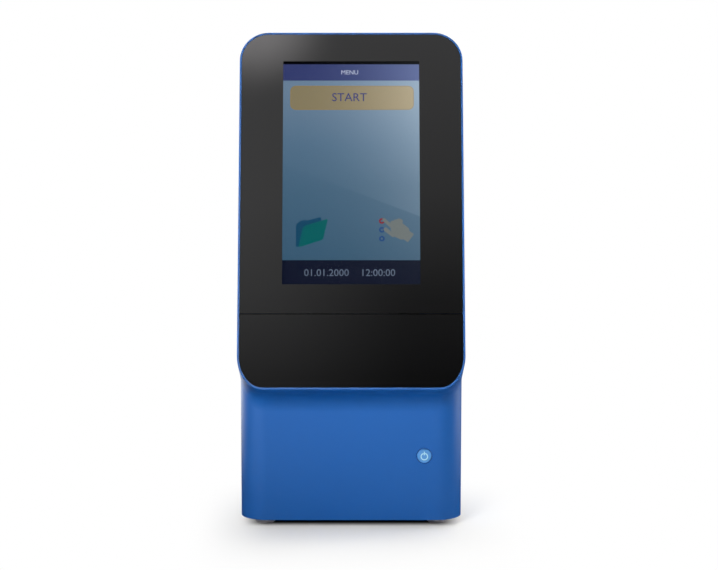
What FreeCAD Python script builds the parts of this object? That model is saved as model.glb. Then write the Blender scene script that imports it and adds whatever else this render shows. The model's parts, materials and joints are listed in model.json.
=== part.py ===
import FreeCAD, Part
import math
import os
from FreeCAD import Vector

# A benchtop blood chemistry analyzer. Millimetres, +Z up, front towards -Y, X to the right.
# The origin is on the table, under the middle of the unit.

# Outer form
total_height = 324.0
total_depth = 203.0
side_room = 11.6
side_step = 1.1
face_tilt = 22.0
face_length = 243.4
lower_recess = 23.5
face_top_radius = 19.5
face_corner_width = 17.0
face_corner_height = 22.5
lower_corner_radius = 17.5
lip_blend_radius = 14.0
rear_edge_radius = 14.0
wall = 2.6
rim_width = 1.3
rim_edge_radius = 0.5

# Clearances and screws
fit_gap = 0.2
slide_gap = 0.3
running_gap = 0.05
screw_diameter = 3.0
screw_core = 2.5
screw_head_diameter = 5.6
screw_head_height = 1.8
cut_over = 1.0

# Feet and floor of the unit
foot_diameter = 14.0
foot_taper = 0.8
foot_chamfer = 1.0
foot_height = 5.9
foot_inset_x = 16.1
foot_inset_y = 17.0
foot_recess = 3.6
skirt_drop = 0.5
base_thickness = 2.0
boss_diameter = 8.0
boss_height = 24.0
boss_web = 2.0
base_slot_count = 6
base_slot_pitch = 7.0
base_slot_length = 24.0
base_slot_width = 3.0
base_slot_x = 36.0
base_slot_centre_y = 10.0

# Front panels
bezel_thickness = 4.0
ledge_width = 7.5
seam_height = 50.3
seam_gap = 0.5
window_width = 90.7
window_length = 153.0
window_below_top = 20.2
window_recess = 1.2
window_corner = 2.0
glass_thickness = 1.8
glass_border = 3.2
lcd_border = 2.6
lcd_frame = 4.0
lcd_step = 1.0
lcd_thickness = 5.0
lcd_sink = 0.3
lcd_sink_margin = 0.8
bezel_screw_foot = 64.0
bezel_screw_pitch = 76.0
bezel_screw_rows = 3
blind_depth = 1.6
bracket_thickness = 1.2
bracket_pad = 6.0
bracket_pad_length = 8.0
bracket_overhang = 11.0
bracket_corner = 12.0
bracket_window = 68.0
bracket_window_margin = 30.0

# Main board behind the display
board_gap = 5.6
board_thickness = 1.6
main_board_width = 104.0
main_board_length = 118.0
main_board_foot = 92.0
main_board_screw_inset = 4.0
standoff_diameter = 5.0
sink_size = 36.0
sink_base = 2.4
sink_up = 68.0
fin_count = 7
fin_pitch = 5.0
fin_thickness = 1.6
fin_height = 6.6
chip_width = 20.0
chip_length = 12.0
chip_height = 1.4
chip_across = 34.0
chip_low = 66.0
chip_high = 84.0
plug_row_up = 17.0
plug_row_depth = 6.0
plug_row_height = 7.5
short_plug_width = 18.0
short_plug_across = -35.0
long_plug_width = 34.0
long_plug_across = 27.0
capacitor_count = 4
capacitor_diameter = 6.0
capacitor_height = 8.0
capacitor_pitch = 9.0
capacitor_across = -38.0
capacitor_up = 104.0

# Power button
button_inset = 25.05
button_rise = 1.9
button_diameter = 9.4
button_round = 0.45
button_length = 4.5
button_proud = 0.5
button_stem_diameter = 4.0
button_travel = 1.2
button_ring_diameter = 10.9
button_ring_depth = 1.5
button_ring_proud = 0.2
button_ring_seat = 0.7
button_board_width = 22.0
button_board_height = 18.0
button_board_depth = 11.0
button_boss_diameter = 4.4
button_boss_inset = 2.5
button_pilot = 1.6
switch_size = 6.0
switch_height = 1.6
plunger_height = 0.8
plunger_diameter = 3.4
button_plug_width = 10.0
button_plug_depth = 5.0

# Chassis
deck_above_lip = 4.7
deck_thickness = 2.0
deck_setback = 10.0
deck_rear_gap = 6.9
sheet = 1.5
leg_gap = 2.3
leg_flange = 12.0
leg_frame = 15.0
leg_setback = 9.0
leg_window_radius = 8.0
deck_flange_setback = 24.0
deck_screw_rows = 3
deck_screw_end = 10.0
deck_screw_pitch = 44.0
deck_screw_grip = 1.5
post_seat = 1.0

# Drawer
drawer_travel = 110.0
well_radius = 42.0
well_setback = 79.5
well_wall = 2.0
well_edge = 1.0
well_chamfer = 0.8
tray_above_deck = 6.0
tray_floor = 2.0
tray_height = 17.0
tray_wall = 2.0
tray_corner = 16.0
hub_hole_radius = 18.0
finger_notch_diameter = 20.0
finger_notch_depth = 9.0
finger_notch_skin = 1.0
light_slot_width = 14.0
rail_reach = 11.0
rail_thickness = 2.5
rail_setback = 4.0
rail_rear_gap = 10.0
guide_inset = 4.0
guide_lip = 4.0
guide_height = 16.0
guide_setback = 2.0
guide_overrun = 2.0
guide_lead = 1.0
passage_gap = 0.6

# Drawer drive
gear_module = 1.0
pressure_angle = 20.0
pinion_teeth = 14
pinion_setback = 46.5
pinion_height = 5.0
pinion_drop = 0.6
rack_height = 6.0
rack_body = 3.25
rack_addendum = 0.8
rack_spare_teeth = 2
dedendum = 1.25
gear_backlash = 0.2
pinion_shaft_diameter = 4.0
pinion_shaft_depth = 20.0
motor_diameter = 20.0
motor_height = 41.0
motor_cap_diameter = 8.0
motor_cap_height = 3.0
motor_plate = 3.0
motor_plate_length = 24.0
motor_plate_corner = 3.0
sensor_width = 8.0
sensor_depth = 5.4
sensor_height = 12.0
sensor_lever_width = 3.0
sensor_lever_reach = 2.6
sensor_gap = 0.4

# Spindle and its lift
lift_travel = 6.0
lift_headroom = 6.0
lift_plate_thickness = 3.0
lift_plate_length = 76.0
lift_plate_width = 52.0
lift_plate_corner = 8.0
lift_bush_height = 8.0
lift_bush_wall = 3.5
post_diameter = 6.0
post_spacing = 62.0
spindle_motor_diameter = 42.0
spindle_motor_height = 20.0
spindle_motor_chamfer = 1.2
spindle_motor_room = 4.0
motor_collar = 4.0
motor_collar_diameter = 14.0
spindle_shaft_diameter = 5.0
spindle_shaft_lift = 2.5
hub_diameter = 26.0
hub_thickness = 5.0
hub_nose_height = 4.0
hub_nose_diameter = 13.0
hub_nose_tip = 10.0
hub_pin_diameter = 2.4
hub_pin_height = 2.5
hub_pin_circle = 19.0
hub_pin_count = 3
hub_top_gap = 1.5
actuator_size = 28.0
actuator_gap = 6.0
actuator_corner = 3.0
actuator_collar = 2.0
lift_screw_diameter = 4.0
lift_screw_engaged = 20.0

# Measuring chamber and optics
chamber_clearance = 2.0
chamber_thickness = 3.0
chamber_setback = 57.5
chamber_length = 96.0
light_hole_diameter = 9.0
optics_offset_y = 30.0
optics_width = 50.0
optics_across = 9.0
optics_front = 16.0
optics_rear = 26.0
optics_height = 26.0
optics_cap_height = 4.0
optics_cap_inset = 8.0
optics_corner = 4.0
light_bore = 7.0
light_bore_depth = 18.0
filter_bore = 5.0
filter_bore_depth = 12.0
filter_count = 4
filter_pitch = 10.0
detector_board_width = 58.0
detector_board_height = 34.0
detector_size = 7.0
detector_depth = 2.0
detector_plug_width = 26.0
detector_plug_height = 6.0
lamp_base = 28.0
lamp_base_height = 8.0
lamp_diameter = 22.0
lamp_height = 26.0
lamp_chamfer = 2.0
lamp_gap = 8.0
lamp_offset_y = 4.0
lamp_tube = 8.0
reader_width = 26.0
reader_depth = 21.5
reader_height = 15.0
reader_across = 37.0
reader_window = 16.0
reader_window_depth = 10.0
reader_window_height = 8.0

# Rear panel, fan and filter
rear_panel_margin = 20.5
rear_panel_foot = 18.0
rear_panel_drop = 23.25
rear_panel_radius = 7.0
rear_ledge = 5.0
rear_ledge_outer = 3.0
rear_ledge_depth = 3.0
rear_screw_inset = 3.1
rear_screw_end = 7.0
rear_screw_sink = 1.0
cover_depth = 6.0
cover_size = 76.0
cover_wall = 1.8
cover_corner = 8.0
cover_round = 1.5
cover_slot_count = 9
cover_slot_pitch = 6.4
cover_slot_length = 56.0
cover_slot_width = 3.4
cover_tab_inset = 4.0
cover_tab_thickness = 2.0
cover_tab_width = 14.0
cover_tab_reach = 1.5
cover_tab_room = 1.2
foam_border = 1.0
fan_size = 60.0
fan_depth = 15.0
fan_below_top = 58.0
fan_wall = 1.5
fan_corner = 4.0
fan_arm_thickness = 2.5
fan_arm_width = 3.0
fan_arms = 4
fan_base_diameter = 26.0
fan_hub_diameter = 28.0
fan_hub_chamfer = 1.5
fan_end_gap = 1.2
fan_shaft_diameter = 3.0
fan_blades = 7
fan_tip_gap = 1.0
fan_blade_thickness = 1.0
fan_blade_depth = 10.0
fan_root_pitch = 42.0
fan_tip_pitch = 28.0
fan_hole_inset = 5.0
fan_hole_diameter = 4.3
vent_pitch = 7.0
vent_foot = 62.0
vent_length = 76.0
vent_height = 3.2
speaker_below_fan = 62.0
speaker_diameter = 36.0
speaker_depth = 10.0
speaker_rim = 3.0
speaker_magnet = 20.0
sound_hole = 2.6
sound_ring_pitch = 6.0

# Power and connector board
connector_board_z = 24.0
connector_board_margin = 8.0
connector_board_rear_gap = 4.5
connector_board_gap = 14.0
connector_standoff = 6.0
connector_standoff_inset = 5.0
supply_can_count = 3
supply_can_diameter = 10.0
supply_can_height = 20.0
supply_can_pitch = 13.0
supply_can_across = -34.0
supply_front = 14.0
choke_size = 18.0
choke_height = 12.0
choke_across = 19.0
heat_bar_width = 8.0
heat_bar_length = 28.0
heat_bar_height = 24.0
heat_bar_across = 37.0
power_plug_width = 22.0
power_plug_depth = 8.0
power_plug_height = 9.0
power_plug_across = -29.0
power_plug_setback = 34.0
socket_setback = 0.3
jack_x = -34.5
jack_width = 10.0
jack_height = 11.0
jack_depth = 14.0
jack_axis = 6.0
jack_bore = 6.6
jack_pin = 2.1
jack_bore_depth = 10.0
ethernet_x = -9.0
ethernet_width = 16.0
ethernet_height = 13.6
ethernet_depth = 21.0
ethernet_way = 12.0
ethernet_way_low = 2.2
ethernet_way_high = 9.2
ethernet_latch = 6.0
ethernet_latch_high = 11.6
usb_x = 20.3
usb_width = 14.6
usb_height = 15.6
usb_depth = 17.0
usb_port_width = 12.6
usb_port_height = 5.8
usb_port_pitch = 7.4
usb_port_foot = 1.2
usb_port_depth = 11.0
usb_tongue_low = 3.2
usb_tongue_thickness = 1.8
usb_tongue_side = 0.4

# Worked out from the sizes above
tilt = math.radians(face_tilt)
lip_z = total_height - face_length * math.cos(tilt)
lip_y = -total_depth / 2.0
face_top_y = lip_y + face_length * math.sin(tilt)
back_y = total_depth / 2.0 - cover_depth
lower_y = lip_y + lower_recess
lower_top_z = lip_z - lower_recess * math.tan(tilt)
crown_z = total_height - (back_y - face_top_y) * math.tan(tilt)
skirt_z = foot_height - skirt_drop
base_top = foot_height + base_thickness
inner_back_y = back_y - wall
inner_front_y = lower_y + wall
seam_z = lip_z + seam_height * math.cos(tilt)

deck_top = lip_z + deck_above_lip
deck_z = deck_top - deck_thickness
deck_front = lower_y + deck_setback
deck_rear = inner_back_y - deck_rear_gap
passage_bottom = deck_top - passage_gap

well_y = lip_y + well_setback
tray_z = deck_top + tray_above_deck
tray_top = tray_z + tray_height
tray_rear = well_y + well_radius + well_wall + well_edge
tray_half = well_radius + well_wall + well_edge
rail_z = tray_z + tray_floor
rail_x = tray_half + rail_reach
rail_front = deck_front + rail_setback
rail_rear = deck_rear - rail_rear_gap
guide_outer_x = rail_x + slide_gap + guide_lip
guide_inner_x = rail_x - guide_inset
guide_front = deck_front + guide_setback
guide_rear = rail_rear + guide_overrun

head_half = guide_outer_x + side_room + wall
lower_half = head_half - side_step
inner_half = lower_half - wall
leg_x = inner_half - leg_gap
leg_front = deck_front + leg_setback
leg_rear = deck_rear - leg_setback
deck_flange_front = leg_front + deck_flange_setback
far = total_height + total_depth

pitch_radius = gear_module * pinion_teeth / 2.0
rack_pitch_x = -(tray_half + rack_body + dedendum * gear_module)
pinion_x = rack_pitch_x - pitch_radius
pinion_y = lip_y + pinion_setback
pinion_z = rail_z - pinion_drop - pinion_height
half_tooth_pitch = (math.pi * gear_module / 2.0 - gear_backlash) / 2.0

lift_room = lift_travel + lift_headroom + motor_collar
lift_plate_z = deck_z - lift_room - spindle_motor_height - lift_plate_thickness
lift_plate_top = lift_plate_z + lift_plate_thickness
spindle_motor_top = lift_plate_top + spindle_motor_height
actuator_top = lift_plate_z - actuator_gap - actuator_collar

bezel_inset = rim_width + fit_gap
opening_inset = rim_width + ledge_width
ledge_back = bezel_thickness + wall
window_top = face_length - window_below_top
window_foot = window_top - window_length
lcd_depth = window_recess + glass_thickness + lcd_thickness
bracket_back = lcd_depth + bracket_thickness
main_board_front = bracket_back + board_gap
main_board_back = main_board_front + board_thickness

button_x = lower_half - button_inset
button_z = (skirt_z + lower_top_z) / 2.0 + button_rise
button_board_y = inner_front_y + button_board_depth

chamber_z = tray_top + chamber_clearance
chamber_top = chamber_z + chamber_thickness
chamber_half = guide_outer_x + slide_gap
chamber_front = lip_y + chamber_setback
chamber_rear = chamber_front + chamber_length
optics_y = well_y + optics_offset_y
optics_left = optics_across - optics_width / 2.0

panel_half = head_half - rear_panel_margin
panel_top = crown_z - rear_panel_drop
fan_z = panel_top - fan_below_top
fan_front = inner_back_y - fan_depth
speaker_z = fan_z - speaker_below_fan
vent_room = speaker_z - speaker_diameter / 2.0 - vent_foot - 2.0 * vent_height
vent_count = int(vent_room / vent_pitch) + 1
socket_z = connector_board_z + board_thickness
socket_rear = back_y - socket_setback
connector_half = panel_half - connector_board_margin
connector_front = well_y + actuator_size / 2.0 + connector_board_gap
connector_rear = inner_back_y - connector_board_rear_gap


# Shapes used by many parts

def save(name, shape):
    shape.exportStep(os.path.join("parts", name + ".step"))


def box(x0, x1, y0, y1, z0, z1):
    return Part.makeBox(x1 - x0, y1 - y0, z1 - z0, Vector(x0, y0, z0))


def upright(x, y, z0, z1, diameter):
    return Part.makeCylinder(diameter / 2.0, z1 - z0, Vector(x, y, z0))


def lengthwise(x, z, y0, y1, diameter):
    return Part.makeCylinder(diameter / 2.0, y1 - y0, Vector(x, y0, z), Vector(0, 1, 0))


def mirrored(shape):
    return shape.mirror(Vector(0, 0, 0), Vector(1, 0, 0))


def union(shapes):
    return shapes[0].multiFuse(shapes[1:]).removeSplitter()


def edge_middle(edge):
    return edge.valueAt((edge.FirstParameter + edge.LastParameter) / 2.0)


def edges_in_plane(shape, axis, value):
    found = []
    for edge in shape.Edges:
        low = getattr(edge.BoundBox, axis + "Min")
        high = getattr(edge.BoundBox, axis + "Max")
        if abs(low - value) < 0.01 and abs(high - value) < 0.01:
            found.append(edge)
    return found


def quarter(centre, start, end, radius):
    towards = (start - centre) + (end - centre)
    towards.normalize()
    return Part.Arc(start, centre + towards * radius, end).toShape()


def rounded_wire(x0, x1, y0, y1, radius):
    corners = ((x1, y0, -1, 1), (x1, y1, -1, -1), (x0, y1, 1, -1), (x0, y0, 1, 1))
    edges = []
    ends = []
    for index, (x, y, inward_x, inward_y) in enumerate(corners):
        centre = Vector(x + inward_x * radius, y + inward_y * radius, 0)
        across = Vector(centre.x, y, 0)
        along = Vector(x, centre.y, 0)
        first, last = (across, along) if index % 2 == 0 else (along, across)
        ends.append((first, last))
        edges.append(quarter(centre, first, last, radius))
    for index in range(len(corners)):
        edges.append(Part.makeLine(ends[index - 1][1], ends[index][0]))
    return Part.Wire(Part.__sortEdges__(edges))


def rounded_slab(x0, x1, y0, y1, radius, z0, z1):
    slab = Part.Face(rounded_wire(x0, x1, y0, y1, radius)).extrude(Vector(0, 0, z1 - z0))
    slab.translate(Vector(0, 0, z0))
    return slab


def rounded_panel(x0, x1, z0, z1, radius, y0, y1):
    slab = rounded_slab(x0, x1, z0, z1, radius, -y1, -y0)
    slab.rotate(Vector(0, 0, 0), Vector(1, 0, 0), 90)
    return slab


def slot_panel(x, z, length, width, y0, y1):
    end = length / 2.0 - width / 2.0
    bar = box(x - end, x + end, y0, y1, z - width / 2.0, z + width / 2.0)
    ends = [lengthwise(x + side * end, z, y0, y1, width) for side in (-1, 1)]
    return bar.multiFuse(ends)


# Shapes set on the tilted face: across is X, up runs along the face, depth goes into the unit

def on_face(shape):
    placed = shape.copy()
    turn = FreeCAD.Rotation(Vector(1, 0, 0), 90.0 - face_tilt)
    move = FreeCAD.Placement(Vector(0, lip_y, lip_z), turn)
    placed.Placement = move.multiply(placed.Placement)
    return placed


def face_box(x0, x1, up0, up1, depth0, depth1):
    return on_face(box(x0, x1, up0, up1, -depth1, -depth0))


def face_slab(x0, x1, up0, up1, radius, depth0, depth1):
    return on_face(rounded_slab(x0, x1, up0, up1, radius, -depth1, -depth0))


def face_rod(across, up, depth0, depth1, diameter):
    return on_face(upright(across, up, -depth1, -depth0, diameter))


def face_wire(inset):
    half = head_half - inset
    width = face_corner_width - inset
    height = face_corner_height - inset
    radius = face_top_radius - inset
    low = inset
    high = face_length - inset
    edges = [Part.makeLine(Vector(width - half, low, 0), Vector(half - width, low, 0))]
    edges.append(Part.makeLine(Vector(half - radius, high, 0), Vector(radius - half, high, 0)))
    for side in (1, -1):
        middle = Vector(side * (half - width), low + height, 0)
        oval = Part.Ellipse(middle + Vector(0, height, 0), middle + Vector(width, 0, 0), middle)
        start = math.pi / 2.0 if side > 0 else math.pi
        edges.append(Part.ArcOfEllipse(oval, start, start + math.pi / 2.0).toShape())
        centre = Vector(side * (half - radius), high - radius, 0)
        shoulder = Vector(side * half, high - radius, 0)
        edges.append(Part.makeLine(Vector(side * half, low + height, 0), shoulder))
        edges.append(quarter(centre, shoulder, Vector(side * (half - radius), high, 0), radius))
    return Part.Wire(Part.__sortEdges__(edges))


def face_plate(inset, depth0, depth1):
    plate = Part.Face(face_wire(inset)).extrude(Vector(0, 0, depth1 - depth0))
    plate.translate(Vector(0, 0, -depth1))
    return on_face(plate)


def face_screw(across, up, head_depth, tip_depth):
    head = face_rod(across, up, head_depth, head_depth + screw_head_height, screw_head_diameter)
    shank = face_rod(across, up, tip_depth, head_depth, screw_core)
    return head.fuse(shank).removeSplitter()


# Housing

def lower_outline(inset, back_radius):
    half = lower_half - inset
    front = lower_y + inset
    back = back_y - inset
    radius = lower_corner_radius - inset
    edges = [Part.makeLine(Vector(radius - half, front, 0), Vector(half - radius, front, 0))]
    for side in (1, -1):
        centre = Vector(side * (half - radius), front + radius, 0)
        start = Vector(side * (half - radius), front, 0)
        shoulder = Vector(side * half, front + radius, 0)
        edges.append(quarter(centre, start, shoulder, radius))
        edges.append(Part.makeLine(shoulder, Vector(side * half, back - back_radius, 0)))
        if back_radius > 0.0:
            centre = Vector(side * (half - back_radius), back - back_radius, 0)
            start = Vector(side * half, back - back_radius, 0)
            end = Vector(side * (half - back_radius), back, 0)
            edges.append(quarter(centre, start, end, back_radius))
    edges.append(Part.makeLine(Vector(back_radius - half, back, 0), Vector(half - back_radius, back, 0)))
    return Part.Face(Part.Wire(Part.__sortEdges__(edges)))


def hull(inset, face_depth):
    """The outer form of the unit, or the same form set in by a wall."""
    back = back_y - inset
    front = lower_y + inset
    head = face_plate(inset, face_depth, far)
    head = head.common(box(-far, far, -far, back, -far, far))
    low = lower_outline(inset, 0.0).extrude(Vector(0, 0, lip_z + inset + far))
    low.translate(Vector(0, 0, -far))
    form = head.fuse(low).removeSplitter()
    under = [edge for edge in form.Edges if is_under_lip(edge_middle(edge), front)]
    form = form.makeFillet(lip_blend_radius + inset, under)
    rim = [edge for edge in edges_in_plane(form, "Y", back) if edge.BoundBox.ZMax > 0.0]
    form = form.makeFillet(rear_edge_radius - inset, rim)
    return form.common(box(-far, far, -far, far, skirt_z, far))


def is_under_lip(middle, front):
    return abs(middle.x) < 1.0 and abs(middle.y - front) < 0.1 and middle.z > skirt_z + wall


def is_face_edge(edge):
    middle = edge_middle(edge)
    depth = (middle.y - lip_y) * math.cos(tilt) - (middle.z - lip_z) * math.sin(tilt)
    return abs(depth) < 0.001


def foot_places():
    across = lower_half - foot_inset_x
    front = lower_y + foot_inset_y
    back = back_y - foot_inset_y
    return {
        "front_left": (-across, front),
        "front_right": (across, front),
        "rear_left": (-across, back),
        "rear_right": (across, back),
    }


def rear_opening(inset, radius, y0, y1):
    half = panel_half - inset
    return rounded_panel(-half, half, rear_panel_foot + inset, panel_top - inset, radius, y0, y1)


def rear_screw_places():
    across = panel_half - rear_screw_inset
    low = rear_panel_foot + rear_screw_end
    high = panel_top - rear_screw_end
    return [(side * across, z) for side in (-1, 1) for z in (low, (low + high) / 2.0, high)]


def bezel_screw_places():
    across = head_half - wall - fit_gap - screw_head_diameter / 2.0
    rows = [bezel_screw_foot + row * bezel_screw_pitch for row in range(bezel_screw_rows)]
    return [(side * across, up) for side in (-1, 1) for up in rows]


def base_boss(x, y):
    top = base_top + boss_height
    reach = inner_half + wall / 2.0
    web = box(abs(x), reach, y - boss_web / 2.0, y + boss_web / 2.0, base_top, top)
    web = web if x > 0 else mirrored(web)
    post = upright(x, y, base_top, top, boss_diameter).fuse(web)
    return post.cut(upright(x, y, base_top - cut_over, top - boss_height / 3.0, screw_core))


def rear_ledge_ring():
    front = inner_back_y - rear_ledge_depth
    ring = rear_opening(-rear_ledge_outer, rear_panel_radius, front, inner_back_y)
    return ring.cut(rear_opening(rear_ledge, rear_panel_radius, front - cut_over, back_y))


def button_bosses():
    across = button_board_width / 2.0 - button_boss_inset
    bosses = []
    for side in (-1, 1):
        x = button_x + side * across
        boss = lengthwise(x, button_z, inner_front_y - wall / 2.0, button_board_y, button_boss_diameter)
        bosses.append(boss.cut(lengthwise(x, button_z, inner_front_y, far, button_pilot)))
    return bosses


def make_housing():
    outer = hull(0.0, 0.0)
    outer = outer.makeFillet(rim_edge_radius, [edge for edge in outer.Edges if is_face_edge(edge)])
    shell = outer.cut(hull(wall, ledge_back))
    shell = shell.cut(face_plate(rim_width, -cut_over, bezel_thickness))
    shell = shell.cut(face_plate(opening_inset, 0.0, ledge_back + cut_over))
    half = guide_outer_x + cut_over
    shell = shell.cut(box(-half, half, lip_y - cut_over, deck_front, passage_bottom, seam_z))
    shell = shell.cut(rear_opening(0.0, rear_panel_radius, inner_back_y - cut_over, back_y + cut_over))
    bosses = [base_boss(x, y) for x, y in foot_places().values()]
    shell = union([shell, rear_ledge_ring()] + bosses + button_bosses())
    for x, z in rear_screw_places():
        start = inner_back_y - rear_ledge_depth - cut_over
        shell = shell.cut(lengthwise(x, z, start, inner_back_y + cut_over, screw_core))
    ring = button_ring_diameter
    seat = lower_y + button_ring_depth
    hole = ring - 2.0 * button_ring_seat
    shell = shell.cut(lengthwise(button_x, button_z, lower_y - cut_over, inner_front_y + cut_over, hole))
    shell = shell.cut(lengthwise(button_x, button_z, lower_y - cut_over, seat, ring))
    for across, up in bezel_screw_places():
        hole = screw_diameter + 2.0 * fit_gap
        shell = shell.cut(face_rod(across, up, bezel_thickness - cut_over, ledge_back + cut_over, hole))
    return shell


# Floor and feet

def make_base_plate():
    inset = wall + fit_gap
    plate = lower_outline(inset, rear_edge_radius - inset).extrude(Vector(0, 0, base_thickness))
    plate.translate(Vector(0, 0, foot_height))
    low = foot_height - cut_over
    high = base_top + cut_over
    for x, y in foot_places().values():
        plate = plate.cut(upright(x, y, low, high, screw_diameter + 2.0 * fit_gap))
    half = base_slot_width / 2.0
    near = base_slot_x - base_slot_length / 2.0
    far_end = base_slot_x + base_slot_length / 2.0
    for row in range(base_slot_count):
        y = base_slot_centre_y + (row - (base_slot_count - 1) / 2.0) * base_slot_pitch
        slot = rounded_slab(near, far_end, y - half, y + half, half - fit_gap, low, high)
        plate = plate.cut(slot).cut(mirrored(slot))
    return plate


def make_foot(x, y):
    top = foot_diameter / 2.0
    foot = Part.makeCone(top - foot_taper, top, foot_height, Vector(x, y, 0))
    foot = foot.makeChamfer(foot_chamfer, edges_in_plane(foot, "Z", 0.0))
    recess = screw_head_diameter + 2.0 * foot_chamfer
    foot = foot.cut(upright(x, y, -cut_over, foot_recess, recess))
    return foot.cut(upright(x, y, -cut_over, foot_height + cut_over, screw_diameter + 2.0 * fit_gap))


def make_base_screws():
    screws = []
    for x, y in foot_places().values():
        head = upright(x, y, foot_recess - screw_head_height, foot_recess, screw_head_diameter)
        shank = upright(x, y, foot_recess, base_top + boss_height / 2.0, screw_core)
        screws.append(head.fuse(shank).removeSplitter())
    return Part.makeCompound(screws)


# Display

def make_bezel():
    plate = face_plate(bezel_inset, 0.0, bezel_thickness)
    plate = plate.cut(box(-far, far, -far, far, 0.0, seam_z + seam_gap / 2.0))
    half = window_width / 2.0
    plate = plate.cut(face_box(-half, half, window_foot, window_top, -cut_over, bezel_thickness))
    border = glass_border + fit_gap
    side = half + border
    low = window_foot - border
    high = window_top + border
    back = bezel_thickness + cut_over
    plate = plate.cut(face_slab(-side, side, low, high, window_corner, window_recess, back))
    for across, up in bezel_screw_places():
        plate = plate.cut(face_rod(across, up, blind_depth, back, screw_core))
    return plate.removeSplitter()


def make_touch_glass():
    half = window_width / 2.0 + glass_border
    low = window_foot - glass_border
    high = window_top + glass_border
    back = window_recess + glass_thickness
    return face_slab(-half, half, low, high, window_corner - fit_gap, window_recess, back)


def make_lcd():
    front = window_recess + glass_thickness
    step = lcd_depth - lcd_step
    half = window_width / 2.0 + lcd_border
    low = window_foot - lcd_border
    high = window_top + lcd_border
    frame = face_box(-half, half, low, high, front, step)
    back = face_box(lcd_frame - half, half - lcd_frame, low + lcd_frame, high - lcd_frame, step, lcd_depth)
    panel = frame.fuse(back).removeSplitter()
    side = window_width / 2.0 + lcd_sink_margin
    low = window_foot - lcd_sink_margin
    high = window_top + lcd_sink_margin
    return panel.cut(face_box(-side, side, low, high, front - cut_over, front + lcd_sink))


def make_display_bracket():
    half = head_half - wall - cut_over
    low = bezel_screw_foot - bracket_pad
    high = bezel_screw_foot + (bezel_screw_rows - 1) * bezel_screw_pitch + bracket_overhang
    plate = face_slab(-half, half, low, high, bracket_corner, lcd_depth, bracket_back)
    side = bracket_window / 2.0
    sill = low + bracket_window_margin
    head = high - bracket_window_margin
    plate = plate.cut(face_box(-side, side, sill, head, lcd_depth - cut_over, bracket_back + cut_over))
    pieces = [plate]
    reach = bracket_pad_length / 2.0
    for across, up in bezel_screw_places():
        pad = face_box(half - bracket_pad, half, up - reach, up + reach, ledge_back, lcd_depth)
        pieces.append(pad if across > 0 else mirrored(pad))
    for across, up in main_board_screws():
        pieces.append(face_rod(across, up, bracket_back, main_board_front, standoff_diameter))
    plate = union(pieces)
    hole = screw_diameter + 2.0 * fit_gap
    for across, up in bezel_screw_places():
        plate = plate.cut(face_rod(across, up, ledge_back - cut_over, bracket_back + cut_over, hole))
    return plate


def main_board_screws():
    across = main_board_width / 2.0 - main_board_screw_inset
    low = main_board_foot + main_board_screw_inset
    high = main_board_foot + main_board_length - main_board_screw_inset
    return [(side * across, up) for side in (-1, 1) for up in (low, high)]


def on_board(across, up, width, length, height):
    middle = main_board_foot + up
    return face_box(across - width / 2.0, across + width / 2.0, middle - length / 2.0,
                    middle + length / 2.0, main_board_back, main_board_back + height)


def make_main_board():
    half = main_board_width / 2.0
    high = main_board_foot + main_board_length
    pieces = [face_slab(-half, half, main_board_foot, high, window_corner, main_board_front, main_board_back)]
    pieces.append(on_board(0.0, sink_up, sink_size, sink_size, sink_base))
    for fin in range(fin_count):
        across = (fin - (fin_count - 1) / 2.0) * fin_pitch
        pieces.append(on_board(across, sink_up, fin_thickness, sink_size, sink_base + fin_height))
    pieces.append(on_board(chip_across, chip_low, chip_width, chip_length, chip_height))
    pieces.append(on_board(chip_across, chip_high, chip_width, chip_length, chip_height))
    pieces.append(on_board(short_plug_across, plug_row_up, short_plug_width, plug_row_depth, plug_row_height))
    pieces.append(on_board(long_plug_across, plug_row_up, long_plug_width, plug_row_depth, plug_row_height))
    for index in range(capacitor_count):
        across = capacitor_across + index * capacitor_pitch
        up = main_board_foot + capacitor_up
        top = main_board_back + capacitor_height
        pieces.append(face_rod(across, up, main_board_back, top, capacitor_diameter))
    return union(pieces)


def make_bezel_screws():
    return Part.makeCompound([face_screw(a, u, bracket_back, blind_depth + fit_gap)
                              for a, u in bezel_screw_places()])


def make_board_screws():
    top = main_board_back + screw_head_height
    return Part.makeCompound([face_rod(a, u, main_board_back, top, standoff_diameter)
                              for a, u in main_board_screws()])


# Power button

def make_button():
    front = lower_y - button_proud
    stem_end = button_board_y - switch_height - plunger_height - button_travel - slide_gap
    cap = lengthwise(button_x, button_z, front, front + button_length, button_diameter)
    cap = cap.makeFillet(button_round, edges_in_plane(cap, "Y", front))
    stem = lengthwise(button_x, button_z, front + button_length, stem_end, button_stem_diameter)
    return cap.fuse(stem).removeSplitter()


def make_button_ring():
    front = lower_y - button_ring_proud
    back = lower_y + button_ring_depth
    ring = lengthwise(button_x, button_z, front, back, button_ring_diameter - fit_gap)
    bore = button_diameter + 2.0 * fit_gap
    return ring.cut(lengthwise(button_x, button_z, front - cut_over, back + cut_over, bore))


def make_button_board():
    front = button_board_y
    back = front + board_thickness
    half = button_board_width / 2.0
    rise = button_board_height / 2.0
    board = box(button_x - half, button_x + half, front, back, button_z - rise, button_z + rise)
    reach = switch_size / 2.0
    switch_y = front - switch_height
    switch = box(button_x - reach, button_x + reach, switch_y, front, button_z - reach, button_z + reach)
    plunger = lengthwise(button_x, button_z, switch_y - plunger_height, switch_y, plunger_diameter)
    reach = button_plug_width / 2.0
    low = button_z - rise + cut_over
    plug_y = back + button_plug_depth
    plug = box(button_x - reach, button_x + reach, back, plug_y, low, low + button_plug_depth)
    return union([board, switch, plunger, plug])


# Chassis

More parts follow.
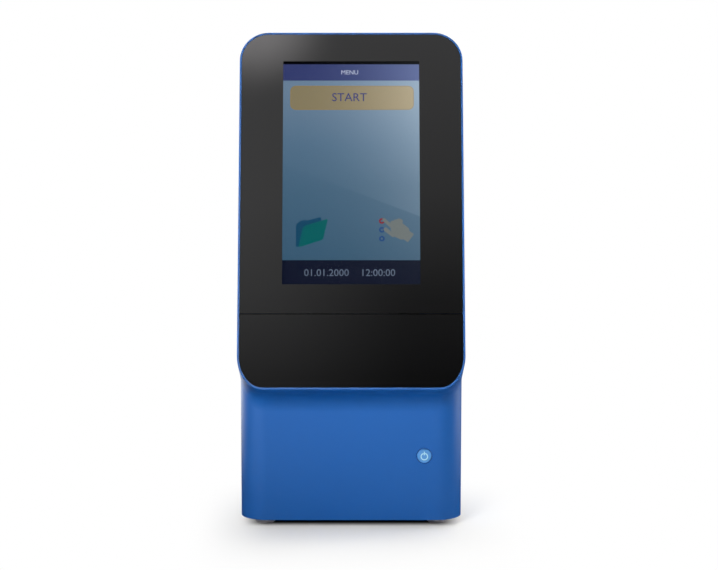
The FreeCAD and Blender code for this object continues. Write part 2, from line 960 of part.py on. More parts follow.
def make_deck():
    deck = box(-leg_x, leg_x, deck_front, deck_rear, deck_z, deck_top)
    low = deck_z - cut_over
    high = deck_top + cut_over
    deck = deck.cut(upright(0, well_y, low, high, spindle_motor_diameter + 2.0 * spindle_motor_room))
    deck = deck.cut(upright(pinion_x, pinion_y, low, high, motor_cap_diameter))
    for x, y in post_places():
        deck = deck.cut(upright(x, y, low, deck_z + post_seat, post_diameter))
    for x, y in deck_screw_places():
        deck = deck.cut(upright(x, y, low, deck_z + deck_screw_grip, screw_core))
    return deck


def make_side_frame():
    leg = box(leg_x - sheet, leg_x, leg_front, leg_rear, base_top, deck_z)
    window = rounded_slab(base_top + leg_frame, deck_z - leg_frame, leg_front + leg_frame,
                          leg_rear - leg_frame, leg_window_radius, 0.0, far)
    window.rotate(Vector(0, 0, 0), Vector(0, 1, 0), -90)
    window.translate(Vector(far, 0, 0))
    leg = leg.cut(window)
    inner = leg_x - leg_flange
    foot_flange = box(inner, leg_x, leg_front, leg_rear, base_top, base_top + sheet)
    deck_flange = box(inner, leg_x, deck_flange_front, leg_rear, deck_z - sheet, deck_z)
    frame = union([leg, foot_flange, deck_flange])
    for x, y in foot_places().values():
        frame = frame.cut(upright(x, y, base_top - cut_over, base_top + leg_flange, boss_diameter + cut_over))
    for x, y in deck_screw_places():
        hole = screw_diameter + 2.0 * fit_gap
        frame = frame.cut(upright(x, y, deck_z - sheet - cut_over, deck_z + cut_over, hole))
    return frame


def deck_screw_places():
    x = leg_x - leg_flange / 2.0
    rows = [deck_flange_front + deck_screw_end + row * deck_screw_pitch for row in range(deck_screw_rows)]
    return [(side * x, y) for side in (-1, 1) for y in rows]


def make_deck_screws():
    screws = []
    for x, y in deck_screw_places():
        seat = deck_z - sheet
        head = upright(x, y, seat - screw_head_height, seat, screw_head_diameter)
        screws.append(head.fuse(upright(x, y, seat, deck_z + deck_screw_grip, screw_core)).removeSplitter())
    return Part.makeCompound(screws)


def post_places():
    return [(side * post_spacing / 2.0, well_y) for side in (-1, 1)]


# Drawer

def make_guide():
    top = deck_top + guide_height
    guide = box(guide_inner_x, guide_outer_x, guide_front, guide_rear, deck_top, top)
    low = rail_z - slide_gap
    high = rail_z + rail_thickness + slide_gap
    groove = box(0.0, rail_x + slide_gap, -far, far, low, high)
    guide = guide.cut(groove)
    lead = edges_in_plane(guide, "Z", top)
    ends = [edge for edge in lead if edge.BoundBox.YLength < 0.01]
    return guide.makeChamfer(guide_lead, ends)


def make_left_guide():
    guide = mirrored(make_guide())
    reach = pitch_radius + 2.0 * gear_module
    room = box(-far, 0.0, pinion_y - reach, pinion_y + reach, deck_top - cut_over, rail_z)
    return guide.cut(room)


def drawer_screw_places():
    across = tray_half - tray_wall - screw_head_diameter
    low = (tray_z + screw_head_diameter / 2.0 + cut_over - lip_z) / math.cos(tilt)
    high = (tray_top - tray_wall - screw_head_diameter / 2.0 - lip_z) / math.cos(tilt)
    return [(side * across, up) for side in (-1, 1) for up in (low, high)]


def make_drawer_front():
    plate = on_face(Part.Face(face_wire(bezel_inset))).extrude(Vector(0, total_depth / 2.0, 0))
    plate = plate.common(face_box(-far, far, -face_length, face_length, 0.0, bezel_thickness))
    plate = plate.common(box(-far, far, -far, far, 0.0, seam_z - seam_gap / 2.0))
    for across, up in drawer_screw_places():
        plate = plate.cut(face_rod(across, up, blind_depth, bezel_thickness + cut_over, screw_core))
    return plate


def tray_block(margin, z0, z1):
    half = tray_half - margin
    rear = tray_rear - margin
    block = box(-half, half, lip_y - cut_over, rear, z0, z1)
    corners = [edge for edge in edges_in_plane(block, "Y", rear) if edge.BoundBox.XLength < 0.01]
    return block.makeFillet(tray_corner - margin, corners)


def tray_end_wall():
    wall_plate = face_box(-tray_half, tray_half, -face_length, face_length, 0.0, bezel_thickness + tray_wall)
    return wall_plate.common(box(-tray_half, tray_half, -far, well_y, tray_z, tray_top))


def make_tray():
    ring = upright(0, well_y, tray_z - cut_over, tray_top + cut_over, 2.0 * (well_radius + well_wall))
    hollow = tray_block(tray_wall, tray_z - cut_over, tray_top - tray_wall).cut(ring)
    body = tray_block(0.0, tray_z, tray_top).cut(hollow)
    rail = box(tray_half - tray_wall, rail_x, rail_front, rail_rear, rail_z, rail_z + rail_thickness)
    body = union([body, tray_end_wall(), rail, mirrored(rail)])
    body = body.cut(upright(0, well_y, rail_z, tray_top + cut_over, 2.0 * well_radius))
    body = body.cut(upright(0, well_y, tray_z - cut_over, tray_top, 2.0 * hub_hole_radius))
    notch = upright(tray_half - well_wall, well_y, tray_top - finger_notch_depth, tray_top + cut_over,
                    finger_notch_diameter)
    inside = tray_half - finger_notch_skin
    notch = notch.common(box(-inside, inside, -far, far, 0.0, far))
    body = body.cut(notch).cut(mirrored(notch))
    half = light_slot_width / 2.0
    near = well_y + hub_hole_radius - well_wall
    slot = rounded_slab(-half, half, near, well_y + well_radius - half, half / 2.0,
                        tray_z - cut_over, rail_z + cut_over)
    body = body.cut(slot)
    body = body.cut(face_box(-far, far, -face_length, face_length, -far, bezel_thickness))
    for across, up in drawer_screw_places():
        reach = bezel_thickness + tray_wall + screw_head_height
        hole = screw_diameter + 2.0 * fit_gap
        body = body.cut(face_rod(across, up, bezel_thickness - cut_over, reach, hole))
    rim = [edge for edge in edges_in_plane(body, "Z", tray_top) if is_circle(edge, well_radius)]
    return body.makeChamfer(well_chamfer, rim).removeSplitter()


def is_circle(edge, radius):
    return edge.Curve.TypeId == "Part::GeomCircle" and abs(edge.Curve.Radius - radius) < 0.01


def make_drawer_screws():
    inner = bezel_thickness + tray_wall
    return Part.makeCompound([face_screw(a, u, inner, blind_depth + fit_gap)
                              for a, u in drawer_screw_places()])


def make_rack():
    tooth_pitch = math.pi * gear_module
    slope = math.tan(math.radians(pressure_angle))
    root = rack_pitch_x + dedendum * gear_module
    tip = rack_pitch_x - rack_addendum
    half_tip = half_tooth_pitch - rack_addendum * slope
    half_root = half_tooth_pitch + dedendum * gear_module * slope
    first = -int(pitch_radius / tooth_pitch) - rack_spare_teeth
    last = int((drawer_travel + pitch_radius) / tooth_pitch) + rack_spare_teeth
    outline = [Vector(-tray_half, pinion_y + first * tooth_pitch, 0)]
    outline.append(Vector(root, pinion_y + first * tooth_pitch, 0))
    for index in range(first, last):
        y = pinion_y + (index + 0.5) * tooth_pitch
        outline.append(Vector(root, y - half_root, 0))
        outline.append(Vector(tip, y - half_tip, 0))
        outline.append(Vector(tip, y + half_tip, 0))
        outline.append(Vector(root, y + half_root, 0))
    outline.append(Vector(root, pinion_y + last * tooth_pitch, 0))
    outline.append(Vector(-tray_half, pinion_y + last * tooth_pitch, 0))
    rack = Part.Face(Part.makePolygon(outline + [outline[0]])).extrude(Vector(0, 0, rack_height))
    rack.translate(Vector(0, 0, rail_z - rack_height))
    return rack


def involute(base, radius):
    roll = math.sqrt(max((radius / base) ** 2 - 1.0, 0.0))
    return roll - math.atan(roll)


def polar(radius, angle):
    return Vector(radius * math.cos(angle), radius * math.sin(angle), 0)


def pinion_outline():
    base = pitch_radius * math.cos(math.radians(pressure_angle))
    tip = pitch_radius + gear_module
    root = pitch_radius - dedendum * gear_module
    step = 2.0 * math.pi / pinion_teeth
    half = half_tooth_pitch / pitch_radius + involute(base, pitch_radius)
    radii = (base, (base + tip) / 2.0, tip)
    edges = []
    for tooth in range(pinion_teeth):
        middle = tooth * step
        low = [polar(radius, middle - half + involute(base, radius)) for radius in radii]
        high = [polar(radius, middle + half - involute(base, radius)) for radius in radii]
        root_low = polar(root, middle - half)
        root_high = polar(root, middle + half)
        next_root = polar(root, middle + step - half)
        edges.append(Part.makeLine(root_low, low[0]))
        edges.append(Part.Arc(low[0], low[1], low[2]).toShape())
        edges.append(Part.Arc(low[2], polar(tip, middle), high[2]).toShape())
        edges.append(Part.Arc(high[2], high[1], high[0]).toShape())
        edges.append(Part.makeLine(high[0], root_high))
        edges.append(Part.Arc(root_high, polar(root, middle + step / 2.0), next_root).toShape())
    return Part.Wire(edges)


def make_pinion():
    gear = Part.Face(pinion_outline()).extrude(Vector(0, 0, pinion_height))
    gear = gear.cut(upright(0, 0, -cut_over, pinion_height + cut_over, pinion_shaft_diameter))
    gear.translate(Vector(pinion_x, pinion_y, pinion_z))
    return gear


def make_pinion_shaft():
    low = deck_z - pinion_shaft_depth
    return upright(pinion_x, pinion_y, low, pinion_z + pinion_height, pinion_shaft_diameter)


def make_drawer_motor():
    top = deck_z - motor_plate
    low = top - motor_height
    half = motor_diameter / 2.0
    left = pinion_x - half + motor_plate_corner - cut_over
    plate = rounded_slab(left, left + motor_plate_length, pinion_y - half, pinion_y + half,
                         motor_plate_corner, top, deck_z)
    can = upright(pinion_x, pinion_y, low, top, motor_diameter)
    cap = upright(pinion_x, pinion_y, low - motor_cap_height, low, motor_cap_diameter)
    bore = pinion_shaft_diameter + 2.0 * running_gap
    start = deck_z - pinion_shaft_depth - cut_over
    return union([plate, can, cap]).cut(upright(pinion_x, pinion_y, start, deck_z + cut_over, bore))


def make_drawer_sensor():
    x = (guide_inner_x + rail_x) / 2.0
    front = rail_rear + sensor_gap
    back = front + sensor_lever_reach
    half = sensor_width / 2.0
    body = box(x - half, x + half, back, back + sensor_depth, deck_top, deck_top + sensor_height)
    half = sensor_lever_width / 2.0
    lever = box(x - half, x + half, front, back, rail_z, rail_z + rail_thickness)
    return body.fuse(lever).removeSplitter()


# Spindle and its lift

def make_lift_plate():
    half = lift_plate_length / 2.0
    reach = lift_plate_width / 2.0
    plate = rounded_slab(-half, half, well_y - reach, well_y + reach, lift_plate_corner,
                         lift_plate_z, lift_plate_top)
    low = lift_plate_z - lift_bush_height
    high = lift_plate_top + lift_bush_height
    bushes = [upright(x, y, low, high, post_diameter + 2.0 * lift_bush_wall) for x, y in post_places()]
    plate = union([plate] + bushes)
    for x, y in post_places():
        bore = post_diameter + 2.0 * running_gap
        plate = plate.cut(upright(x, y, low - cut_over, high + cut_over, bore))
    return plate


def make_lift_posts():
    top = deck_z + post_seat
    return Part.makeCompound([upright(x, y, base_top, top, post_diameter) for x, y in post_places()])


def make_lift_actuator():
    half = actuator_size / 2.0
    body = rounded_slab(-half, half, well_y - half, well_y + half, actuator_corner, base_top, actuator_top)
    top = actuator_top + actuator_collar
    collar = upright(0, well_y, actuator_top, top, actuator_size / 2.0)
    bore = lift_screw_diameter + 2.0 * running_gap
    start = actuator_top - lift_screw_engaged - lift_travel
    return union([body, collar]).cut(upright(0, well_y, max(start, base_top + sheet), top + cut_over, bore))


def make_lift_screw():
    low = max(actuator_top - lift_screw_engaged, base_top + 2.0 * sheet)
    return upright(0, well_y, low, lift_plate_z, lift_screw_diameter)


def make_spindle_motor():
    can = upright(0, well_y, lift_plate_top, spindle_motor_top, spindle_motor_diameter)
    can = can.makeChamfer(spindle_motor_chamfer, edges_in_plane(can, "Z", spindle_motor_top))
    top = spindle_motor_top + motor_collar
    collar = upright(0, well_y, spindle_motor_top, top, motor_collar_diameter)
    bore = spindle_shaft_diameter + 2.0 * running_gap
    start = lift_plate_top + spindle_shaft_lift - slide_gap
    return union([can, collar]).cut(upright(0, well_y, start, top + cut_over, bore))


def make_spindle_hub():
    top = tray_z - hub_top_gap
    shoulder = top - hub_nose_height
    shaft = upright(0, well_y, lift_plate_top + spindle_shaft_lift, top, spindle_shaft_diameter)
    disc = upright(0, well_y, shoulder - hub_thickness, shoulder, hub_diameter)
    nose = Part.makeCone(hub_nose_diameter / 2.0, hub_nose_tip / 2.0, hub_nose_height,
                         Vector(0, well_y, shoulder))
    pieces = [disc, shaft, nose]
    for index in range(hub_pin_count):
        place = polar(hub_pin_circle / 2.0, math.pi / 2.0 + 2.0 * math.pi * index / hub_pin_count)
        y = well_y + place.y
        pieces.append(upright(place.x, y, shoulder, shoulder + hub_pin_height, hub_pin_diameter))
    return union(pieces)


# Measuring chamber and optics

def make_chamber():
    half = chamber_half + sheet
    bridge = box(-half, half, chamber_front, chamber_rear, chamber_z, chamber_top)
    leg = box(chamber_half, half, chamber_front, chamber_rear, deck_top, chamber_z)
    frame = union([bridge, leg, mirrored(leg)])
    low = chamber_z - cut_over
    high = chamber_top + cut_over
    frame = frame.cut(upright(0, optics_y, low, high, light_hole_diameter))
    half = reader_window / 2.0
    front = chamber_front + (reader_depth - reader_window_depth) / 2.0
    window = box(reader_across - half, reader_across + half, front, front + reader_window_depth, low, high)
    return frame.cut(window)


def make_optics_block():
    right = optics_left + optics_width
    front = optics_y - optics_front
    rear = optics_y + optics_rear
    top = chamber_top + optics_height
    block = rounded_slab(optics_left, right, front, rear, optics_corner, chamber_top, top)
    inset = optics_cap_inset
    cap = rounded_slab(optics_left + inset, right - inset, front + inset, rear - inset, optics_corner,
                       top, top + optics_cap_height)
    block = union([block, cap])
    bore = upright(0, optics_y, chamber_top - cut_over, chamber_top + light_bore_depth, light_bore)
    block = block.cut(bore)
    for index in range(filter_count):
        z = chamber_top + optics_height / 2.0
        start = rear - filter_bore_depth
        block = block.cut(lengthwise(filter_place(index), z, start, rear + cut_over, filter_bore))
    return block


def filter_place(index):
    return optics_across + (index - (filter_count - 1) / 2.0) * filter_pitch


def make_detector_board():
    front = optics_y + optics_rear
    back = front + board_thickness
    half = detector_board_width / 2.0
    top = chamber_top + detector_board_height
    pieces = [box(optics_across - half, optics_across + half, front, back, chamber_top, top)]
    z = chamber_top + optics_height / 2.0 + detector_size / 2.0
    half = detector_size / 2.0
    for index in range(filter_count):
        x = filter_place(index)
        pieces.append(box(x - half, x + half, back, back + detector_depth, z, z + detector_size))
    half = detector_plug_width / 2.0
    low = chamber_top + 2.0 * detector_depth
    pieces.append(box(optics_across - half, optics_across + half, back, back + detector_plug_height,
                      low, low + detector_plug_height))
    return union(pieces)


def make_flash_lamp():
    y = optics_y + lamp_offset_y
    x = optics_left - lamp_gap - lamp_base / 2.0
    half = lamp_base / 2.0
    shelf = chamber_top + lamp_base_height
    base = rounded_slab(x - half, x + half, y - half, y + half, optics_corner, chamber_top, shelf)
    can = upright(x, y, shelf, shelf + lamp_height, lamp_diameter)
    can = can.makeChamfer(lamp_chamfer, edges_in_plane(can, "Z", shelf + lamp_height))
    start = x + lamp_diameter / 2.0 - lamp_chamfer
    z = shelf + lamp_tube
    tube = Part.makeCylinder(lamp_tube / 2.0, optics_left - start, Vector(start, y, z), Vector(1, 0, 0))
    return union([base, can, tube])


def make_barcode_reader():
    half = reader_width / 2.0
    front = chamber_front + fit_gap
    x0 = reader_across - half
    body = rounded_slab(x0, x0 + reader_width, front, front + reader_depth, window_corner,
                        chamber_top, chamber_top + reader_height)
    half = reader_window / 2.0
    front = chamber_front + (reader_depth - reader_window_depth) / 2.0
    eye = box(reader_across - half, reader_across + half, front, front + reader_window_depth,
              chamber_top - cut_over, chamber_top + reader_window_height)
    return body.cut(eye)


# Rear panel, fan and filter

def make_rear_panel():
    start = inner_back_y - cut_over
    end = back_y + cut_over
    plate = rear_opening(fit_gap, rear_panel_radius - fit_gap, inner_back_y, back_y)
    sockets = ((jack_x, jack_width, jack_height), (ethernet_x, ethernet_width, ethernet_height),
               (usb_x, usb_width, usb_height))
    for x, width, height in sockets:
        half = width / 2.0 + slide_gap
        low = socket_z - slide_gap
        plate = plate.cut(box(x - half, x + half, start, end, low, socket_z + height + slide_gap))
    for x, z in rear_screw_places():
        plate = plate.cut(lengthwise(x, z, start, end, screw_diameter + 2.0 * fit_gap))
        sink = screw_head_diameter + 2.0 * slide_gap
        plate = plate.cut(lengthwise(x, z, back_y - rear_screw_sink, end, sink))
    plate = plate.cut(lengthwise(0, fan_z, start, end, fan_size - 2.0 * fan_wall))
    for side in (-1, 1):
        x = side * (cover_size / 2.0 - cover_tab_inset)
        half = cover_tab_thickness / 2.0 + cover_tab_room
        rise = cover_tab_width / 2.0 + slide_gap
        plate = plate.cut(box(x - half, x + half, start, end, fan_z - rise, fan_z + rise))
    for row in range(vent_count):
        z = vent_foot + row * vent_pitch
        plate = plate.cut(slot_panel(0.0, z, vent_length, vent_height, start, end))
    for ring in (1, 2):
        holes = 6 * ring
        for index in range(holes):
            place = polar(ring * sound_ring_pitch, 2.0 * math.pi * index / holes)
            plate = plate.cut(lengthwise(place.x, speaker_z + place.y, start, end, sound_hole))
    return plate


def make_rear_screws():
    screws = []
    for x, z in rear_screw_places():
        seat = back_y - rear_screw_sink
        head = lengthwise(x, z, seat, seat + screw_head_height, screw_head_diameter)
        shank = lengthwise(x, z, inner_back_y - rear_ledge_depth, seat, screw_core)
        screws.append(head.fuse(shank).removeSplitter())
    return Part.makeCompound(screws)


def make_speaker():
    rim = inner_back_y - speaker_rim
    basket = lengthwise(0, speaker_z, rim, inner_back_y, speaker_diameter)
    cone = speaker_diameter - 2.0 * speaker_rim
    basket = basket.cut(lengthwise(0, speaker_z, rim + cut_over, inner_back_y + cut_over, cone))
    magnet = lengthwise(0, speaker_z, inner_back_y - speaker_depth, rim, speaker_magnet)
    return basket.fuse(magnet).removeSplitter()


def make_fan_frame():
    half = fan_size / 2.0
    frame = rounded_panel(-half, half, fan_z - half, fan_z + half, fan_corner, fan_front, inner_back_y)
    frame = frame.cut(lengthwise(0, fan_z, -far, far, fan_size - 2.0 * fan_wall))
    base_end = fan_front + fan_arm_thickness
    pieces = [frame, lengthwise(0, fan_z, fan_front, base_end, fan_base_diameter)]
    for index in range(fan_arms):
        reach = half - fan_wall / 2.0
        start = fan_base_diameter / 3.0
        rise = fan_arm_width / 2.0
        arm = box(start, reach, fan_front, base_end, fan_z - rise, fan_z + rise)
        arm.rotate(Vector(0, 0, fan_z), Vector(0, 1, 0), (index + 0.5) * 360.0 / fan_arms)
        pieces.append(arm)
    frame = union(pieces)
    frame = frame.cut(lengthwise(0, fan_z, -far, far, fan_shaft_diameter + 2.0 * running_gap))
    place = half - fan_hole_inset
    for x in (-place, place):
        for z in (-place, place):
            frame = frame.cut(lengthwise(x, fan_z + z, -far, far, fan_hole_diameter))
    return frame


def make_fan_rotor():
    front = fan_front + fan_arm_thickness + fan_end_gap / 2.0
    rear = inner_back_y - fan_end_gap
    hub = lengthwise(0, fan_z, front, rear, fan_hub_diameter)
    hub = hub.makeChamfer(fan_hub_chamfer, edges_in_plane(hub, "Y", rear))
    pieces = [hub, lengthwise(0, fan_z, fan_front + slide_gap, front + fan_end_gap, fan_shaft_diameter)]
    tip = fan_size / 2.0 - fan_wall - fan_tip_gap
    for index in range(fan_blades):
        blade = fan_blade(fan_hub_diameter / 2.0 - fan_hub_chamfer, tip)
        blade.rotate(Vector(0, 0, 0), Vector(0, 1, 0), 360.0 / fan_blades * index)
        blade.translate(Vector(0, (front + rear) / 2.0, fan_z))
        pieces.append(blade)
    return union(pieces)


def fan_blade(root, tip):
    sections = []
    for radius, pitch in ((root, fan_root_pitch), (tip, fan_tip_pitch)):
        half = fan_blade_depth / 4.0 / math.sin(math.radians(pitch))
        thick = fan_blade_thickness / 2.0
        corners = [Vector(-half, -thick, radius), Vector(half, -thick, radius),
                   Vector(half, thick, radius), Vector(-half, thick, radius)]
        section = Part.makePolygon(corners + [corners[0]])
        section.rotate(Vector(0, 0, radius), Vector(0, 0, 1), pitch)
        sections.append(section)
    return Part.makeLoft(sections, True, True)


def make_filter_cover():
    half = cover_size / 2.0
    face_y = total_depth / 2.0
    outer = rounded_panel(-half, half, fan_z - half, fan_z + half, cover_corner, back_y + fit_gap, face_y)
    outer = outer.makeFillet(cover_round, edges_in_plane(outer, "Y", face_y))
    half -= cover_wall
    hollow = rounded_panel(-half, half, fan_z - half, fan_z + half, cover_corner - cover_wall,
                           back_y - cut_over, face_y - cover_wall)
    cover = outer.cut(hollow)
    for row in range(cover_slot_count):
        z = fan_z + (row - (cover_slot_count - 1) / 2.0) * cover_slot_pitch
        cover = cover.cut(slot_panel(0.0, z, cover_slot_length, cover_slot_width, back_y, face_y + cut_over))
    x = cover_size / 2.0 - cover_tab_inset
    thick = cover_tab_thickness / 2.0
    rise = cover_tab_width / 2.0
    start = inner_back_y - cover_tab_reach
    tab = box(x - thick, x + thick, start, face_y - cover_wall / 2.0, fan_z - rise, fan_z + rise)
    return union([cover, tab, mirrored(tab)])


def make_filter_foam():
    half = fan_size / 2.0 + foam_border
    rear = total_depth / 2.0 - cover_wall
    return rounded_panel(-half, half, fan_z - half, fan_z + half, fan_corner, back_y + 2.0 * fit_gap, rear)


# Power and connector board with its sockets

def on_connector_board(x, y, width, depth, height):
    half = width / 2.0
    reach = depth / 2.0
    return box(x - half, x + half, y - reach, y + reach, socket_z, socket_z + height)


def make_power_board():
    pieces = [rounded_slab(-connector_half, connector_half, connector_front, connector_rear,
                           window_corner, connector_board_z, socket_z)]
    inset = connector_standoff_inset
    for side in (-1, 1):
        for y in (connector_front + inset, connector_rear - inset):
            x = side * (connector_half - inset)
            pieces.append(upright(x, y, base_top, connector_board_z, connector_standoff))
    y = connector_front + supply_front
    for index in range(supply_can_count):
        x = supply_can_across + index * supply_can_pitch
        pieces.append(upright(x, y, socket_z, socket_z + supply_can_height, supply_can_diameter))
    choke = rounded_slab(choke_across - choke_size / 2.0, choke_across + choke_size / 2.0,
                         y - choke_size / 2.0, y + choke_size / 2.0, optics_corner,
                         socket_z, socket_z + choke_height)
    pieces.append(choke)
    bar_y = y + heat_bar_length / 2.0 - supply_can_diameter / 2.0
    pieces.append(on_connector_board(heat_bar_across, bar_y, heat_bar_width, heat_bar_length,
                                     heat_bar_height))
    plug_y = connector_front + power_plug_setback
    pieces.append(on_connector_board(power_plug_across, plug_y, power_plug_width, power_plug_depth,
                                     power_plug_height))
    return union(pieces)


def socket_block(x, width, height, depth):
    return on_connector_board(x, socket_rear - depth / 2.0, width, depth, height)


def make_dc_jack():
    axis_z = socket_z + jack_axis
    body = socket_block(jack_x, jack_width, jack_height, jack_depth)
    bottom = socket_rear - jack_bore_depth
    body = body.cut(lengthwise(jack_x, axis_z, bottom, socket_rear + cut_over, jack_bore))
    return union([body, lengthwise(jack_x, axis_z, bottom - cut_over, socket_rear - cut_over, jack_pin)])


def make_ethernet_port():
    body = socket_block(ethernet_x, ethernet_width, ethernet_height, ethernet_depth)
    bottom = socket_rear - ethernet_way
    end = socket_rear + cut_over
    half = ethernet_way / 2.0
    middle = socket_z + ethernet_way_high
    way = box(ethernet_x - half, ethernet_x + half, bottom, end, socket_z + ethernet_way_low, middle)
    half = ethernet_latch / 2.0
    latch = box(ethernet_x - half, ethernet_x + half, bottom, end, middle, socket_z + ethernet_latch_high)
    return body.cut(way).cut(latch)


def make_usb_ports():
    body = socket_block(usb_x, usb_width, usb_height, usb_depth)
    bottom = socket_rear - usb_port_depth
    half = usb_port_width / 2.0
    side = half - usb_tongue_side
    tongues = []
    for index in range(2):
        z = socket_z + usb_port_foot + index * usb_port_pitch
        high = z + usb_port_height
        body = body.cut(box(usb_x - half, usb_x + half, bottom, socket_rear + cut_over, z, high))
        low = z + usb_tongue_low
        tongues.append(box(usb_x - side, usb_x + side, bottom - cut_over, socket_rear - cut_over,
                           low, low + usb_tongue_thickness))
    return union([body] + tongues)


def main():
    os.makedirs("parts", exist_ok=True)
    save("housing", make_housing())
    save("base_plate", make_base_plate())
    for name, (x, y) in foot_places().items():
        save("foot_" + name, make_foot(x, y))
    save("base_screws", make_base_screws())
    save("display_bezel", make_bezel())
    save("touch_glass", make_touch_glass())
    save("lcd_panel", make_lcd())
    save("display_bracket", make_display_bracket())
    save("main_board", make_main_board())
    save("bezel_screws", make_bezel_screws())
    save("board_screws", make_board_screws())
    save("power_button", make_button())
    save("button_ring", make_button_ring())
    save("button_board", make_button_board())
    save("chassis_deck", make_deck())
    save("chassis_side_left", mirrored(make_side_frame()))
    save("chassis_side_right", make_side_frame())
    save("deck_screws", make_deck_screws())
    save("drawer_guide_left", make_left_guide())
    save("drawer_guide_right", make_guide())
    save("drawer_front", make_drawer_front())
    save("drawer_tray", make_tray())
    save("drawer_screws", make_drawer_screws())
    save("drawer_rack", make_rack())
    save("drawer_pinion", make_pinion())
    save("pinion_shaft", make_pinion_shaft())
    save("drawer_motor", make_drawer_motor())
    save("drawer_sensor", make_drawer_sensor())
    save("lift_plate", make_lift_plate())
    save("lift_posts", make_lift_posts())
    save("lift_actuator", make_lift_actuator())
    save("lift_screw", make_lift_screw())
    save("spindle_motor", make_spindle_motor())
    save("spindle_hub", make_spindle_hub())
    save("chamber_cover", make_chamber())
    save("optics_block", make_optics_block())
    save("detector_board", make_detector_board())
    save("flash_lamp", make_flash_lamp())
    save("barcode_reader", make_barcode_reader())
    save("rear_panel", make_rear_panel())
    save("rear_screws", make_rear_screws())
    save("speaker", make_speaker())
    save("fan_frame", make_fan_frame())
    save("fan_rotor", make_fan_rotor())
    save("filter_cover", make_filter_cover())
    save("filter_foam", make_filter_foam())
    save("power_board", make_power_board())
    save("dc_jack", make_dc_jack())
    save("ethernet_port", make_ethernet_port())
    save("usb_ports", make_usb_ports())


main()
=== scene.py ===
import bpy
import bmesh
import json
import math
from mathutils import Matrix, Vector


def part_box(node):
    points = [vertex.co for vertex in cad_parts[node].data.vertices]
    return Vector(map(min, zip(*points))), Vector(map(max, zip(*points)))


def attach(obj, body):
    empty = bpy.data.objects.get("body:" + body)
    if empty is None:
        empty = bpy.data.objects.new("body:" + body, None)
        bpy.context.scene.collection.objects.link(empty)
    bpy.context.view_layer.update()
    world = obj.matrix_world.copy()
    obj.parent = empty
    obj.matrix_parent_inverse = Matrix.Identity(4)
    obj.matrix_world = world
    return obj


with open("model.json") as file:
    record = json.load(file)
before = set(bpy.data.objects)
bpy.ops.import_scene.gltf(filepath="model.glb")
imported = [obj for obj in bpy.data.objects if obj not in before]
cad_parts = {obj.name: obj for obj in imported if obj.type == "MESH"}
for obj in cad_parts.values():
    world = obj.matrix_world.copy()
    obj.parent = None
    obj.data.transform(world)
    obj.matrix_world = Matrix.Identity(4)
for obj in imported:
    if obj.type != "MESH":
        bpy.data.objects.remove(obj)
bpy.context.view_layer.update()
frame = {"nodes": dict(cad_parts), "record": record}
mm = 0.001
quarterTurn = math.radians(90.0)

# The tilted front: x runs across, y up along the face, z out of it
face = {"tilt": 22.0, "lipY": -0.1015, "lipZ": 0.0983245}
faceTurn = Matrix.Rotation(math.radians(90.0 - face["tilt"]), 4, "X")
faceFrame = Matrix.Translation((0.0, face["lipY"], face["lipZ"])) @ faceTurn
print("frame loaded:", len(frame["nodes"]), "nodes")


# Modelling helpers

sameSpot = 1e-7


def deselectAll():
    if bpy.context.object and bpy.context.object.mode != "OBJECT":
        bpy.ops.object.mode_set(mode="OBJECT")
    bpy.ops.object.select_all(action="DESELECT")


def activate(piece):
    deselectAll()
    piece.select_set(True)
    bpy.context.view_layer.objects.active = piece


def pick(piece, kind, wanted):  # leaves the piece in edit mode with only the wanted edges or faces selected
    activate(piece)
    bpy.ops.object.mode_set(mode="EDIT")
    bpy.ops.mesh.select_mode(type=kind)
    bpy.ops.mesh.select_all(action="DESELECT")
    mesh = bmesh.from_edit_mesh(piece.data)
    for part in mesh.edges if kind == "EDGE" else mesh.faces:
        part.select = wanted(part)
    bmesh.update_edit_mesh(piece.data)


def upright(edge):
    start, end = (vertex.co for vertex in edge.verts)
    return abs(start.x - end.x) < sameSpot and abs(start.y - end.y) < sameSpot


def finishPiece(piece, place, body, material):  # the place goes into the mesh
    deselectAll()
    bpy.context.view_layer.update()
    piece.data.transform(place @ piece.matrix_world)
    piece.matrix_world = Matrix.Identity(4)
    piece.data.update()
    piece.data.materials.clear()
    piece.data.materials.append(material)
    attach(piece, body)


def plate(name, width, height, thickness, radius, x=0.0, y=0.0, z=0.0, turn=0.0, segments=5):
    deselectAll()
    bpy.ops.mesh.primitive_cube_add(size=1.0)
    piece = bpy.context.object
    piece.name = name
    piece.scale = (width, height, thickness)
    bpy.ops.object.transform_apply(location=False, rotation=False, scale=True)
    if radius > 0.0:
        pick(piece, "EDGE", upright)
        bpy.ops.mesh.bevel(offset=radius, segments=segments, affect="EDGES")
        bpy.ops.object.mode_set(mode="OBJECT")
    piece.data.transform(Matrix.Translation((x, y, z)) @ Matrix.Rotation(turn, 4, "Z"))
    return piece


